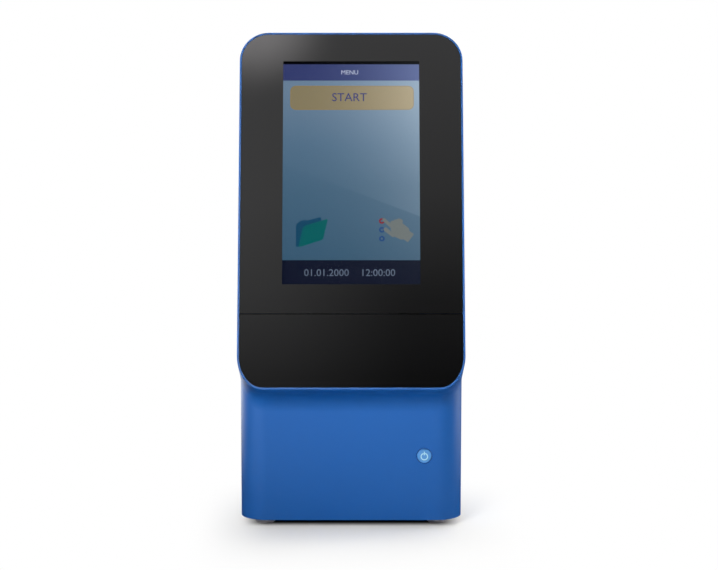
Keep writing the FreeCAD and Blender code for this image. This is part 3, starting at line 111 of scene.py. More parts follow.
def ring(name, outer, inner, thickness, x=0.0, y=0.0, gap=0.0, steps=48):
    deselectAll()
    bpy.ops.mesh.primitive_circle_add(vertices=steps, radius=outer)
    piece = bpy.context.object
    piece.name = name
    bpy.ops.object.mode_set(mode="EDIT")
    bpy.ops.mesh.select_all(action="SELECT")
    bpy.ops.mesh.extrude_edges_move()
    bpy.ops.transform.resize(value=(inner / outer, inner / outer, 1.0), center_override=(0.0, 0.0, 0.0))
    bpy.ops.object.mode_set(mode="OBJECT")
    if gap > 0.0:  # an opening at the top of the ring
        pick(piece, "FACE", lambda polygon: abs(math.atan2(*polygon.calc_center_median().xy)) < gap)
        bpy.ops.mesh.delete(type="FACE")
        bpy.ops.object.mode_set(mode="OBJECT")
    wallModifier = piece.modifiers.new("thickness", "SOLIDIFY")
    wallModifier.thickness = thickness
    wallModifier.offset = 0.0
    activate(piece)
    bpy.ops.object.modifier_apply(modifier=wallModifier.name)
    bpy.ops.object.mode_set(mode="EDIT")
    bpy.ops.mesh.select_all(action="SELECT")
    bpy.ops.mesh.normals_make_consistent(inside=False)
    bpy.ops.object.mode_set(mode="OBJECT")
    piece.data.transform(Matrix.Translation((x, y, 0.0)))
    return piece


def joined(name, pieces):
    activate(pieces[0])
    for piece in pieces[1:]:
        piece.select_set(True)
    bpy.ops.object.join()
    bpy.context.object.name = name
    return bpy.context.object


def words(name, text, size, thickness, x=0.0, y=0.0, curveSteps=3):
    deselectAll()
    bpy.ops.object.text_add()
    piece = bpy.context.object
    piece.name = name
    piece.data.body = text
    piece.data.size = size
    piece.data.align_x = "CENTER"
    piece.data.align_y = "CENTER"
    piece.data.extrude = thickness / 2.0
    piece.data.resolution_u = curveSteps
    activate(piece)
    bpy.ops.object.convert(target="MESH")
    piece = bpy.context.object
    piece.data.transform(Matrix.Translation((x, y, 0.0)))
    return piece


# Node helpers: most add one node to the tree and give back its output

def feed(tree, value, socket):  # a number or colour is set, anything else is linked
    if isinstance(value, (int, float)):
        socket.default_value = value
    elif isinstance(value, tuple):
        socket.default_value = value + (1.0,)
    else:
        tree.links.new(value, socket)


def setInputs(node, values):
    for label, value in values.items():
        node.inputs[label].default_value = value


def addMath(tree, operation, first, second=None, third=None, clamp=False):
    node = tree.nodes.new("ShaderNodeMath")
    node.operation = operation
    node.use_clamp = clamp
    for index, value in enumerate((first, second, third)):
        if value is not None:
            feed(tree, value, node.inputs[index])
    return node.outputs[0]


def remap(tree, value, low, high, toLow=0.0, toHigh=1.0, kind="LINEAR"):
    node = tree.nodes.new("ShaderNodeMapRange")
    node.interpolation_type = kind
    setInputs(node, {"From Min": low, "From Max": high, "To Min": toLow, "To Max": toHigh})
    tree.links.new(value, node.inputs["Value"])
    return node.outputs["Result"]


def ramp(tree, factor, stops):  # each stop is a place and a colour or a grey level
    node = tree.nodes.new("ShaderNodeValToRGB")
    elements = node.color_ramp.elements
    elements[0].position, elements[1].position = stops[0][0], stops[-1][0]
    middle = [elements.new(position) for position, colour in stops[1:-1]]
    for element, (position, colour) in zip([elements[0]] + middle + [elements[len(stops) - 1]], stops):
        element.color = (colour if isinstance(colour, tuple) else (colour,) * 3) + (1.0,)
    tree.links.new(factor, node.inputs["Fac"])
    return node.outputs["Color"]


def objectPlace(tree):
    return tree.nodes.new("ShaderNodeTexCoord").outputs["Object"]


def split(tree, vector):
    node = tree.nodes.new("ShaderNodeSeparateXYZ")
    tree.links.new(vector, node.inputs["Vector"])
    return node.outputs


def noise(tree, vector, scale, detail):
    node = tree.nodes.new("ShaderNodeTexNoise")
    node.inputs["Detail"].default_value = detail
    tree.links.new(vector, node.inputs["Vector"])
    feed(tree, scale, node.inputs["Scale"])
    return node.outputs["Fac"]


def mixColours(tree, factor, first, second):
    node = tree.nodes.new("ShaderNodeMix")
    node.data_type = "RGBA"
    for index, value in ((0, factor), (6, first), (7, second)):
        feed(tree, value, node.inputs[index])
    return node.outputs[2]


def mixShaders(tree, factor, first, second):
    node = tree.nodes.new("ShaderNodeMixShader")
    tree.links.new(factor, node.inputs["Fac"])
    tree.links.new(first, node.inputs[1])
    tree.links.new(second, node.inputs[2])
    return node.outputs["Shader"]


def emission(tree, colour):
    node = tree.nodes.new("ShaderNodeEmission")
    feed(tree, colour, node.inputs["Color"])
    return node.outputs["Emission"]


def diffuse(tree, colour):
    node = tree.nodes.new("ShaderNodeBsdfDiffuse")
    feed(tree, colour, node.inputs["Color"])
    return node.outputs["BSDF"]


# Shader groups shared by several materials

def newGroup(name, inputs, outputs):
    group = bpy.data.node_groups.new(name, "ShaderNodeTree")
    for label, kind, value in inputs:
        socket = group.interface.new_socket(name=label, in_out="INPUT", socket_type=kind)
        socket.default_value = value
    for label in outputs:
        group.interface.new_socket(name=label, in_out="OUTPUT", socket_type="NodeSocketFloat")
    start = group.nodes.new("NodeGroupInput")
    end = group.nodes.new("NodeGroupOutput")
    return group, start, end


mouldGrain = {"detail": 3.0, "cellScale": 1.7, "cellShare": 0.5, "mottleScale": 14.0, "mottleDetail": 4.0}


def makeGrainGroup():  # the fine spark finish of a moulding tool
    inputs = [("Scale", "NodeSocketFloat", 900.0), ("Depth", "NodeSocketFloat", 1.0)]
    group, start, end = newGroup("mouldedGrain", inputs, ["Height", "Mottle"])
    place = objectPlace(group)
    fine = noise(group, place, start.outputs["Scale"], mouldGrain["detail"])
    cells = group.nodes.new("ShaderNodeTexVoronoi")
    group.links.new(place, cells.inputs["Vector"])
    cellScale = addMath(group, "MULTIPLY", start.outputs["Scale"], mouldGrain["cellScale"])
    group.links.new(cellScale, cells.inputs["Scale"])
    pits = addMath(group, "MULTIPLY", cells.outputs["Distance"], mouldGrain["cellShare"])
    height = addMath(group, "MULTIPLY", addMath(group, "ADD", fine, pits), start.outputs["Depth"])
    group.links.new(height, end.inputs["Height"])
    mottle = noise(group, place, mouldGrain["mottleScale"], mouldGrain["mottleDetail"])
    group.links.new(mottle, end.inputs["Mottle"])
    return group


dust = {"scale": 260.0, "detail": 6.0, "slope": 0.2}


def makeDustGroup():  # settles on what faces upwards
    group, start, end = newGroup("settledDust", [("Amount", "NodeSocketFloat", 0.3)], ["Mask"])
    speck = noise(group, objectPlace(group), dust["scale"], dust["detail"])
    normal = group.nodes.new("ShaderNodeNewGeometry").outputs["Normal"]
    upward = remap(group, split(group, normal)["Z"], dust["slope"], 1.0)
    mask = addMath(group, "MULTIPLY", speck, upward)
    group.links.new(addMath(group, "MULTIPLY", mask, start.outputs["Amount"], clamp=True), end.inputs["Mask"])
    return group


wipes = {"turn": (0.0, 0.5, 0.0), "stretch": (1.0, 1.0, 0.25), "detail": 5.0, "low": 0.45, "high": 0.75}


def makeHandlingGroup():  # faint wipe marks that change only the gloss
    group, start, end = newGroup("handlingMarks", [("Scale", "NodeSocketFloat", 22.0)], ["Mask"])
    stretch = group.nodes.new("ShaderNodeMapping")
    setInputs(stretch, {"Rotation": wipes["turn"], "Scale": wipes["stretch"]})
    group.links.new(objectPlace(group), stretch.inputs["Vector"])
    wipe = noise(group, stretch.outputs["Vector"], start.outputs["Scale"], wipes["detail"])
    group.links.new(remap(group, wipe, wipes["low"], wipes["high"]), end.inputs["Mask"])
    return group


brushDetail = 4.0


def makeBrushGroup():  # rolled and machined metal, its streaks drawn out from front to back
    inputs = [("Scale", "NodeSocketFloat", 400.0), ("Stretch", "NodeSocketFloat", 0.03)]
    group, start, end = newGroup("brushedMetal", inputs, ["Height", "Streak"])
    parts = split(group, objectPlace(group))
    drawn = group.nodes.new("ShaderNodeCombineXYZ")
    group.links.new(parts["X"], drawn.inputs["X"])
    group.links.new(addMath(group, "MULTIPLY", parts["Y"], start.outputs["Stretch"]), drawn.inputs["Y"])
    group.links.new(parts["Z"], drawn.inputs["Z"])
    streak = noise(group, drawn.outputs["Vector"], start.outputs["Scale"], brushDetail)
    group.links.new(streak, end.inputs["Height"])
    group.links.new(streak, end.inputs["Streak"])
    return group


# Painted reflection of light falling across the display glass, added to the display's glow: brighter to the
# upper right, with a slanted edge
glare = {
    "left": -0.0455, "right": 0.0455, "low": 0.150, "high": 0.318,
    "falls": ((0.0, 0.02), (0.45, 0.07), (0.75, 0.18), (1.0, 0.225)), "spread": 2.0,
    "edgeLeft": 0.2383, "edgeRight": 0.2055, "edgeBlur": 0.0004,
    "step": 0.036, "stepSpread": 3.0, "leastStep": 0.005,
}


def makePaintedGlareGroup():
    group, start, end = newGroup("paintedScreenGlare", [("Strength", "NodeSocketFloat", 1.0)], ["Glare", "Height"])
    parts = split(group, objectPlace(group))
    across = remap(group, parts["X"], glare["left"], glare["right"])
    height = remap(group, parts["Z"], glare["low"], glare["high"])
    fall = ramp(group, height, glare["falls"])
    broad = addMath(group, "MULTIPLY", addMath(group, "POWER", across, glare["spread"]), fall)
    slope = (glare["edgeRight"] - glare["edgeLeft"]) / (glare["right"] - glare["left"])
    line = addMath(group, "MULTIPLY_ADD", parts["X"], slope, glare["edgeLeft"] - slope * glare["left"])
    above = remap(group, addMath(group, "SUBTRACT", parts["Z"], line), -glare["edgeBlur"], glare["edgeBlur"])
    share = addMath(group, "POWER", across, glare["stepSpread"])
    step = addMath(group, "MULTIPLY_ADD", share, glare["step"], glare["leastStep"])
    total = addMath(group, "ADD", broad, addMath(group, "MULTIPLY", above, step))
    group.links.new(addMath(group, "MULTIPLY", total, start.outputs["Strength"]), end.inputs["Glare"])
    group.links.new(height, end.inputs["Height"])
    return group


# Degrees from straight ahead, to the right positive, and the level there
roomPanels = (
    (-150, 2.0), (-122, 1.9), (-98, 0.8), (-78, 0.15), (-58, 0.9), (-36, 1.2), (-15, 0.75),
    (20, 0.42), (44, 0.03), (76, 0.02), (92, 1.1), (112, 1.3), (132, 0.25), (160, 0.02),
)
roomBehind = 0.6


def makeRoomGroup():  # light and dark panels round the object, seen only in reflections
    group, start, end = newGroup("mirroredRoom", [("Vector", "NodeSocketVector", (0.0, 0.0, 0.0))], ["Level"])
    parts = split(group, start.outputs["Vector"])
    turn = addMath(group, "ARCTAN2", parts["X"], addMath(group, "MULTIPLY", parts["Y"], -1.0))
    share = addMath(group, "MULTIPLY_ADD", turn, 0.5 / math.pi, 0.5)
    panels = [(0.5 + degrees / 360.0, level) for degrees, level in roomPanels]
    group.links.new(ramp(group, share, [(0.0, roomBehind), *panels, (1.0, roomBehind)]), end.inputs["Level"])
    return group


grainGroup = makeGrainGroup()
dustGroup = makeDustGroup()
handlingGroup = makeHandlingGroup()
brushGroup = makeBrushGroup()
paintedGlareGroup = makePaintedGlareGroup()
roomGroup = makeRoomGroup()


# Materials

grainDepth = 0.03 * mm
roughnessSpread = {"plastic": (-0.04, 0.05), "metal": (-0.08, 0.10)}


def newMaterial(name):
    material = bpy.data.materials.new(name)
    material.use_nodes = True
    return material, material.node_tree, material.node_tree.nodes["Principled BSDF"]


def useGroup(tree, group, **values):
    node = tree.nodes.new("ShaderNodeGroup")
    node.node_tree = group
    setInputs(node, values)
    return node


def addBump(tree, shader, height, strength, distance):
    bump = tree.nodes.new("ShaderNodeBump")
    setInputs(bump, {"Strength": strength, "Distance": distance})
    tree.links.new(height, bump.inputs["Height"])
    tree.links.new(bump.outputs["Normal"], shader.inputs["Normal"])


def varyRoughness(tree, shader, mask, low, high):
    tree.links.new(remap(tree, mask, 0.0, 1.0, low, high), shader.inputs["Roughness"])


def plastic(name, colour, shade, roughness, grain, strength, dusty, dustColour=(0.5, 0.5, 0.5), specular=0.5):
    material, tree, shader = newMaterial(name)
    texture = useGroup(tree, grainGroup, Scale=grain)
    dustMask = useGroup(tree, dustGroup, Amount=dusty)
    base = mixColours(tree, texture.outputs["Mottle"], colour, shade)
    tree.links.new(mixColours(tree, dustMask.outputs["Mask"], base, dustColour), shader.inputs["Base Color"])
    less, more = roughnessSpread["plastic"]
    varyRoughness(tree, shader, texture.outputs["Mottle"], roughness + less, roughness + more)
    shader.inputs["Specular IOR Level"].default_value = specular
    addBump(tree, shader, texture.outputs["Height"], strength, grainDepth)
    return material


brushed = {"strength": 0.15, "depth": 0.02 * mm}


def metal(name, colour, shade, roughness, scale, stretch=0.03):
    material, tree, shader = newMaterial(name)
    brush = useGroup(tree, brushGroup, Scale=scale, Stretch=stretch)
    tree.links.new(mixColours(tree, brush.outputs["Streak"], colour, shade), shader.inputs["Base Color"])
    shader.inputs["Metallic"].default_value = 1.0
    less, more = roughnessSpread["metal"]
    varyRoughness(tree, shader, brush.outputs["Streak"], roughness + less, roughness + more)
    addBump(tree, shader, brush.outputs["Height"], brushed["strength"], brushed["depth"])
    return material


gloss = {"grain": 35.0, "lift": 1.25, "strength": 0.02, "depth": 0.05 * mm}  # lift: how much paler in spots


def glossBlack(name, colour, roughness, marks):
    material, tree, shader = newMaterial(name)
    wipe = useGroup(tree, handlingGroup)
    texture = useGroup(tree, grainGroup, Scale=gloss["grain"])
    lifted = tuple(gloss["lift"] * part for part in colour)
    tree.links.new(mixColours(tree, texture.outputs["Mottle"], colour, lifted), shader.inputs["Base Color"])
    varyRoughness(tree, shader, wipe.outputs["Mask"], roughness, roughness + marks)
    addBump(tree, shader, texture.outputs["Height"], gloss["strength"], gloss["depth"])
    return material


# tint of the painted glare reflection on the display
paleGlare = (0.88, 1.0, 1.08)
panelBlack = (0.002, 0.002, 0.003, 1.0)


def screenInk(name, colour, glareTint=paleGlare, strength=1.0, roughness=0.5):
    material, tree, shader = newMaterial(name)
    # the painted glare reflection is added to the ink's glow
    light = useGroup(tree, paintedGlareGroup, Strength=strength)
    wash = tree.nodes.new("ShaderNodeVectorMath")
    wash.operation = "SCALE"
    wash.inputs[0].default_value = glareTint
    tree.links.new(light.outputs["Glare"], wash.inputs["Scale"])
    total = tree.nodes.new("ShaderNodeVectorMath")
    tree.links.new(wash.outputs["Vector"], total.inputs[0])
    if isinstance(colour[0], tuple):  # stops that change up the display
        tree.links.new(ramp(tree, light.outputs["Height"], colour), total.inputs[1])
    else:
        total.inputs[1].default_value = colour
    tree.links.new(total.outputs["Vector"], shader.inputs["Emission Color"])
    setInputs(shader, {"Emission Strength": 1.0, "Base Color": panelBlack, "Roughness": roughness})
    shader.inputs["Specular IOR Level"].default_value = 0.0
    return material


# The glass is coated against reflections, so its index is low
glass = {"tint": (0.97, 0.985, 1.0, 1.0), "index": 1.06, "wipes": 30.0, "haze": 0.012}


def makeGlassMaterial():
    material, tree, shader = newMaterial("coverGlass")
    wipe = useGroup(tree, handlingGroup, Scale=glass["wipes"])
    varyRoughness(tree, shader, wipe.outputs["Mask"], 0.0, glass["haze"])
    setInputs(shader, {"Base Color": glass["tint"], "Transmission Weight": 1.0, "IOR": glass["index"]})
    return material


board = {
    "tracks": {
        "Scale": 160.0, "Mortar Size": 0.06, "Mortar": (0.030, 0.170, 0.085, 1.0),
        "Color1": (0.010, 0.085, 0.040, 1.0), "Color2": (0.014, 0.105, 0.050, 1.0),
    },
    "roughness": 0.35, "strength": 0.2, "depth": 0.03 * mm,
}


def makeBoardMaterial():
    material, tree, shader = newMaterial("solderMask")
    tracks = tree.nodes.new("ShaderNodeTexBrick")
    setInputs(tracks, board["tracks"])
    tree.links.new(objectPlace(tree), tracks.inputs["Vector"])
    tree.links.new(tracks.outputs["Color"], shader.inputs["Base Color"])
    shader.inputs["Roughness"].default_value = board["roughness"]
    addBump(tree, shader, tracks.outputs["Fac"], board["strength"], board["depth"])
    return material


foam = {
    "scale": 900.0, "pore": (0.008, 0.008, 0.009), "wall": (0.05, 0.05, 0.055),
    "roughness": 0.95, "strength": 0.9, "depth": 0.4 * mm,
}


def makeFoamMaterial():
    material, tree, shader = newMaterial("openFoam")
    pores = tree.nodes.new("ShaderNodeTexVoronoi")
    pores.inputs["Scale"].default_value = foam["scale"]
    tree.links.new(objectPlace(tree), pores.inputs["Vector"])
    away = pores.outputs["Distance"]
    tree.links.new(mixColours(tree, away, foam["pore"], foam["wall"]), shader.inputs["Base Color"])
    shader.inputs["Roughness"].default_value = foam["roughness"]
    addBump(tree, shader, away, foam["strength"], foam["depth"])
    return material


displayFade = (  # the lit background, brightest at its top
    (0.0, (0.024, 0.076, 0.131)), (0.42, (0.055, 0.119, 0.187)), (0.60, (0.078, 0.148, 0.227)),
    (0.80, (0.130, 0.201, 0.286)), (1.0, (0.132, 0.203, 0.293)),
)
# Plastic: colour, shade, roughness, grain, strength, dust. Metal: colour, shade, roughness, scale, stretch
finishes = {
    "blue_shell": plastic("blueShell", (0.004, 0.092, 0.352), (0.006, 0.100, 0.372), 0.36, 1100.0, 0.22, 0.03,
                          (0.25, 0.32, 0.45), 0.55),
    "grey_shell": plastic("charcoalShell", (0.040, 0.041, 0.045), (0.050, 0.051, 0.056), 0.52, 900.0,
                          0.45, 0.10),
    "black_gloss": glossBlack("pianoBlack", (0.0022, 0.0022, 0.0024), 0.045, 0.05),
    "touch_glass": makeGlassMaterial(),
    "screen": screenInk("litDisplay", displayFade, roughness=0.45),
    "sheet_steel": metal("zincSheet", (0.56, 0.57, 0.58), (0.66, 0.67, 0.68), 0.38, 60.0, 0.6),
    "steel": metal("platedSteel", (0.58, 0.58, 0.60), (0.70, 0.70, 0.72), 0.26, 500.0),
    "aluminium": metal("machinedAluminium", (0.72, 0.72, 0.74), (0.80, 0.80, 0.82), 0.32, 700.0),
    "acetal": plastic("naturalAcetal", (0.72, 0.72, 0.68), (0.78, 0.78, 0.74), 0.38, 600.0, 0.1, 0.0),
    "tray_plastic": plastic("trayPlastic", (0.50, 0.51, 0.53), (0.54, 0.55, 0.57), 0.42, 800.0, 0.2, 0.0),
    "black_plastic": plastic("blackPlastic", (0.014, 0.014, 0.015), (0.020, 0.020, 0.021), 0.48, 700.0,
                             0.3, 0.08),
    "circuit_board": makeBoardMaterial(),
    "foot_rubber": plastic("footRubber", (0.470, 0.445, 0.475), (0.510, 0.485, 0.515), 0.75, 500.0, 0.4, 0.1),
    "foam": makeFoamMaterial(),
    "button_plastic": plastic("buttonPlastic", (0.070, 0.245, 0.560), (0.080, 0.265, 0.590), 0.30, 900.0,
                              0.08, 0.0, specular=0.3),
    "dark_ring": plastic("darkRing", (0.006, 0.074, 0.310), (0.008, 0.082, 0.330), 0.30, 900.0,
                         0.1, 0.0, specular=0.3),
}

slotOf = {entry["node"]: entry["material_slot"] for entry in frame["record"]["subparts"]}
for nodeName, node in frame["nodes"].items():
    for holder in node.material_slots:
        holder.material = finishes[slotOf[nodeName]]
print("materials placed on the frame's nodes")


# What the display shows, as thin pieces on the panel's front

display = {
    "layer": 0.03 * mm, "fill": 0.8, "clearance": 0.01 * mm, "sink": 0.3 * mm,
    "low": 69.45 * mm, "high": 223.95 * mm, "half": 46.05 * mm,
    "top": 1.9 * mm, "header": 11.35 * mm, "footer": 17.75 * mm,
}


def panelFront(node):  # how far the node's foremost point lies out of the face
    inverse = faceFrame.inverted()
    return max((inverse @ vertex.co).z for vertex in frame["nodes"][node].data.vertices)


panelZ = panelFront("lcd_panel") - display["sink"]
inks = {
    "header": screenInk("headerInk", (0.030, 0.040, 0.138), (0.8, 1.0, 1.55), 0.53),
    "footer": screenInk("footerInk", (0.0036, 0.0058, 0.0175), strength=0.2),
    "frame": screenInk("frameInk", (0.001, 0.001, 0.0015), strength=0.05),
    "buttonEdge": screenInk("buttonEdgeInk", (0.26, 0.19, 0.075), strength=0.7),
    "button": screenInk("buttonInk", (0.222, 0.182, 0.099), (1.15, 0.98, 0.74), 1.0),
    "buttonWord": screenInk("buttonWordInk", (0.028, 0.033, 0.160), strength=0.4),
    "paleWord": screenInk("paleWordInk", (0.46, 0.50, 0.62), strength=1.0),
    "footerWord": screenInk("footerWordInk", (0.120, 0.155, 0.215), strength=0.3),
    "folderBack": screenInk("folderBackInk", (0.006, 0.055, 0.115), strength=0.15),
    "folderFront": screenInk("folderFrontInk", (0.001, 0.103, 0.104), strength=0.08),
    "hand": screenInk("handInk", (0.150, 0.168, 0.160), strength=0.35),
    "red": screenInk("redInk", (0.235, 0.018, 0.026), strength=0.2),
    "blue": screenInk("blueInk", (0.018, 0.062, 0.190), strength=0.2),
}


def show(piece, ink, level=1):  # level counts the thin layers out of the panel
    out = panelZ + (level - 0.5) * display["layer"] + display["clearance"]
    finishPiece(piece, faceFrame @ Matrix.Translation((0.0, 0.0, out)), "case", inks[ink])


layer = display["layer"] * display["fill"]
startBar = {"x": 0.6, "y": 198.7, "width": 81.2, "height": 15.4, "radius": 3.1, "edge": 0.7}
displayWords = (  # name, text, size, x, y, ink and level
    ("screenStartWord", "START", 8.05, -1.2, 198.8, "buttonWord", 3),
    ("screenHeaderWord", "MENU", 4.25, -1.0, 216.3, "paleWord", 2),
    ("screenFooterWord", "01.01.2000    12:00:00", 6.7, -1.0, 78.5, "footerWord", 2),
)


def makeBar(name, height, low, ink, level=1):  # across the whole display
    show(plate(name, 2.0 * display["half"], height, layer, 0.0, y=low + height / 2.0), ink, level)


def makeStart(name, edge, ink, level):
    width, height = (startBar["width"] + 2.0 * edge) * mm, (startBar["height"] + 2.0 * edge) * mm
    place = {"x": startBar["x"] * mm, "y": startBar["y"] * mm}
    show(plate(name, width, height, layer, (startBar["radius"] + edge) * mm, **place), ink, level)


def makeBars():
    under = display["high"] - display["top"]
    makeBar("screenHeader", display["header"], under - display["header"], "header")
    makeBar("screenFooter", display["footer"], display["low"], "footer")
    makeBar("screenTopEdge", display["top"], under, "frame", 2)
    makeStart("screenStartEdge", startBar["edge"], "buttonEdge", 1)
    makeStart("screenStart", 0.0, "button", 2)
    for name, text, size, x, y, ink, level in displayWords:
        show(words(name, text, size * mm, layer, x=x * mm, y=y * mm), ink, level)


makeBars()
print("display bars and words made")

folder = {
    "x": -25.1, "y": 105.6, "width": 16.3, "height": 14.3, "radius": 1.1,
    "lean": 0.23, "rise": 0.33, "backRise": 0.85,
}
folderBehind = (  # name, shares of the front's width, height and radius, then lean and shift
    ("folderBackPlate", 1.02, 1.12, 1.0, 0.0, -3.0, 0.7),
    ("folderTab", 0.30, 0.24, 0.9, 0.25, -7.3, 7.0),
)


def slanted(piece, lean, rise, x, y):  # upright edges lean to the right and level ones rise
    slant = Matrix.Identity(4)
    slant[0][1] = lean
    slant[1][0] = rise
    piece.data.transform(Matrix.Translation((x * mm, y * mm, 0.0)) @ slant)
    return piece


def makeFolder():  # an open folder, seen from its left
    width, height, radius = folder["width"] * mm, folder["height"] * mm, folder["radius"] * mm
    x, y, backRise = folder["x"], folder["y"], folder["rise"] * folder["backRise"]
    behind = []
    for name, wide, high, bend, lean, dx, dy in folderBehind:
        piece = plate(name, width * wide, height * high, layer, radius * bend)
        behind.append(slanted(piece, lean, backRise, x + dx, y + dy))
    show(joined("screenFolderBack", behind), "folderBack")
    front = plate("screenFolderFront", width, height, layer, radius)
    show(slanted(front, folder["lean"], folder["rise"], x, y), "folderFront", 2)


makeFolder()

dots = {"x": 20.25, "red": 113.8, "blue": (107.8, 101.8), "radius": 1.9, "hole": 0.42}


def makeDot(name, up, ink):
    radius = dots["radius"] * mm
    show(ring(name, radius, radius * dots["hole"], layer, x=dots["x"] * mm, y=up * mm), ink)


makeDot("screenRedDot", dots["red"], "red")
for index, up in enumerate(dots["blue"]):
    makeDot("screenBlueDot%d" % (index + 1), up, "blue")

hand = {"x": 32.2, "y": 107.9, "turn": -0.69, "scale": 0.93}
handShapes = (  # name, width, height, radius, x, y and turn
    ("palm", 12.0, 9.6, 2.6, 0.0, 0.0, 0.0),
    ("pointer", 10.6, 2.5, 1.2, -8.3, 4.5, -0.05),
    ("secondFinger", 4.6, 3.2, 1.5, -4.6, 4.6, 0.15),
    ("thirdFinger", 4.6, 3.2, 1.5, -2.5, 5.6, 0.25),
    ("fourthFinger", 4.6, 3.4, 1.6, -0.2, 6.3, 0.35),
    ("thumb", 9.6, 2.8, 1.3, -7.6, -1.9, 0.02),
    ("heel", 9.0, 6.0, 2.2, -0.5, -3.4, 0.25),
    ("cuff", 4.6, 7.4, 0.5, 5.9, -4.9, 0.06),
)


def makeHand():  # its first finger points up and to the left
    unit = hand["scale"] * mm
    pieces = []
    for name, width, height, radius, dx, dy, turn in handShapes:
        place = {"x": hand["x"] * mm + dx * unit, "y": hand["y"] * mm + dy * unit, "turn": hand["turn"] + turn}
        pieces.append(plate(name, width * unit, height * unit, layer, radius * unit, **place))
    show(joined("screenHand", pieces), "hand", 2)


makeHand()
print("display icons made")


# Power symbol on the button

button = {
    "ring": 2.15, "sink": 0.4, "stroke": 0.72, "gap": 18.0, "thickness": 0.06,
    "bar": 2.6, "barRise": 1.75, "barRadius": 0.35,
    "colour": (0.38, 0.63, 0.71), "shade": (0.43, 0.68, 0.76), "roughness": 0.35, "grain": 900.0,
}


def makeSymbolInk():
    material, tree, shader = newMaterial("symbolInk")
    mottle = useGroup(tree, grainGroup, Scale=button["grain"]).outputs["Mottle"]
    tree.links.new(mixColours(tree, mottle, button["colour"], button["shade"]), shader.inputs["Base Color"])
    shader.inputs["Roughness"].default_value = button["roughness"]
    return material


def makePowerSymbol():
    outer = (button["ring"] + button["stroke"] / 2.0) * mm
    inner = (button["ring"] - button["stroke"] / 2.0) * mm
    thickness = button["thickness"] * mm
    arc = ring("powerArc", outer, inner, thickness, y=-button["sink"] * mm, gap=math.radians(button["gap"]))
    bar = plate("powerBar", button["stroke"] * mm, button["bar"] * mm, thickness, button["barRadius"] * mm,
                y=button["barRise"] * mm)
    symbol = joined("power_symbol", [arc, bar])
    low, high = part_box("power_button")
    place = Matrix.Translation(((low[0] + high[0]) / 2.0, low[1], (low[2] + high[2]) / 2.0))
    turned = place @ Matrix.Rotation(quarterTurn, 4, "X")
    finishPiece(symbol, turned, "button", makeSymbolInk())


makePowerSymbol()
print("power symbol made")


# Sockets and screw heads at the rear and below

linerMaterial = plastic("socketInsulator", (0.010, 0.010, 0.011), (0.014, 0.014, 0.015), 0.55, 700.0, 0.2, 0.0)
tongueMaterial = plastic("socketTongue", (0.020, 0.020, 0.022), (0.030, 0.030, 0.032), 0.40, 700.0, 0.1, 0.0)
goldMaterial = metal("goldPlating", (0.86, 0.62, 0.22), (0.92, 0.70, 0.30), 0.24, 300.0)
shellMaterial = metal("socketShell", (0.60, 0.60, 0.61), (0.64, 0.64, 0.65), 0.34, 40.0, 1.0)
# painted shade: a dark finish for plates that stand in for the hollow of each screw's cross recess
paintedRecessMaterial = plastic("paintedRecessShade", (0.020, 0.020, 0.021), (0.030, 0.030, 0.031), 0.6, 500.0, 0.1, 0.0)
for nodeName in ("usb_ports", "ethernet_port"):
    frame["nodes"][nodeName].material_slots[0].material = shellMaterial

halfTurn = Matrix.Rotation(math.pi, 4, "Z")
rearTurn = halfTurn @ Matrix.Rotation(quarterTurn, 4, "X")  # x to the left, y up, z to the rear


def rearPlace(node):  # on the rear of the node, at its middle
    low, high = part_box(node)
    return Matrix.Translation(((low[0] + high[0]) / 2.0, high[1], (low[2] + high[2]) / 2.0)) @ rearTurn


def block(name, width, height, depth, x, y, z):  # a small square-edged block, in millimetres
    return plate(name, width * mm, height * mm, depth * mm, 0.0, x=x * mm, y=y * mm, z=z * mm)


usb = {
    "ports": 2, "foot": -6.6, "pitch": 7.4,
    "tongue": 4.1, "width": 11.9, "thickness": 1.9, "length": 10.3, "inset": 0.5,
    "back": (12.5, 5.7, 0.1), "backDrop": 1.2, "backZ": -10.9,
    "contact": (1.0, 0.1, 8.0), "contacts": (-3.5, -1.0, 1.0, 3.5), "contactZ": -5.2,
}


def makeUsbFittings():
    tongues, contacts, backs = [], [], []
    for port in range(usb["ports"]):
        y = usb["foot"] + port * usb["pitch"] + usb["tongue"]
        middle = -(usb["length"] / 2.0 + usb["inset"])
        tongues.append(block("tongue", usb["width"], usb["thickness"], usb["length"], 0.0, y, middle))
        backs.append(block("back", *usb["back"], 0.0, y - usb["backDrop"], usb["backZ"]))
        for x in usb["contacts"]:
            contacts.append(block("contact", *usb["contact"], x, y - usb["thickness"] / 2.0, usb["contactZ"]))
    place = rearPlace("usb_ports")
    finishPiece(joined("usb_tongues", tongues), place, "case", tongueMaterial)
    finishPiece(joined("usb_backs", backs), place, "case", linerMaterial)
    finishPiece(joined("usb_contacts", contacts), place, "case", goldMaterial)


network = {
    "pocket": (11.8, 6.8, -1.1), "latch": (5.8, 2.4, 3.5), "depth": 11.8, "wall": 0.12, "inset": 0.1,
    "contact": (0.5, 0.12, 9.0), "contacts": 8, "pitch": 1.02, "contactY": -4.2, "contactZ": -6.4,
}


def liner(width, height, y, openSide):  # thin walls round a pocket that is open to the rear and at one side
    thin, depth = network["wall"], network["depth"]
    middle = -depth / 2.0 - network["inset"]
    walls = [block("linerBack", width, height, thin, 0.0, y, -depth)]
    for side in (-1.0, 1.0):
        walls.append(block("linerSide", thin, height, depth, side * width / 2.0, y, middle))
        if side != openSide:
            walls.append(block("linerFloor", width, thin, depth, 0.0, y + side * height / 2.0, middle))
    return walls


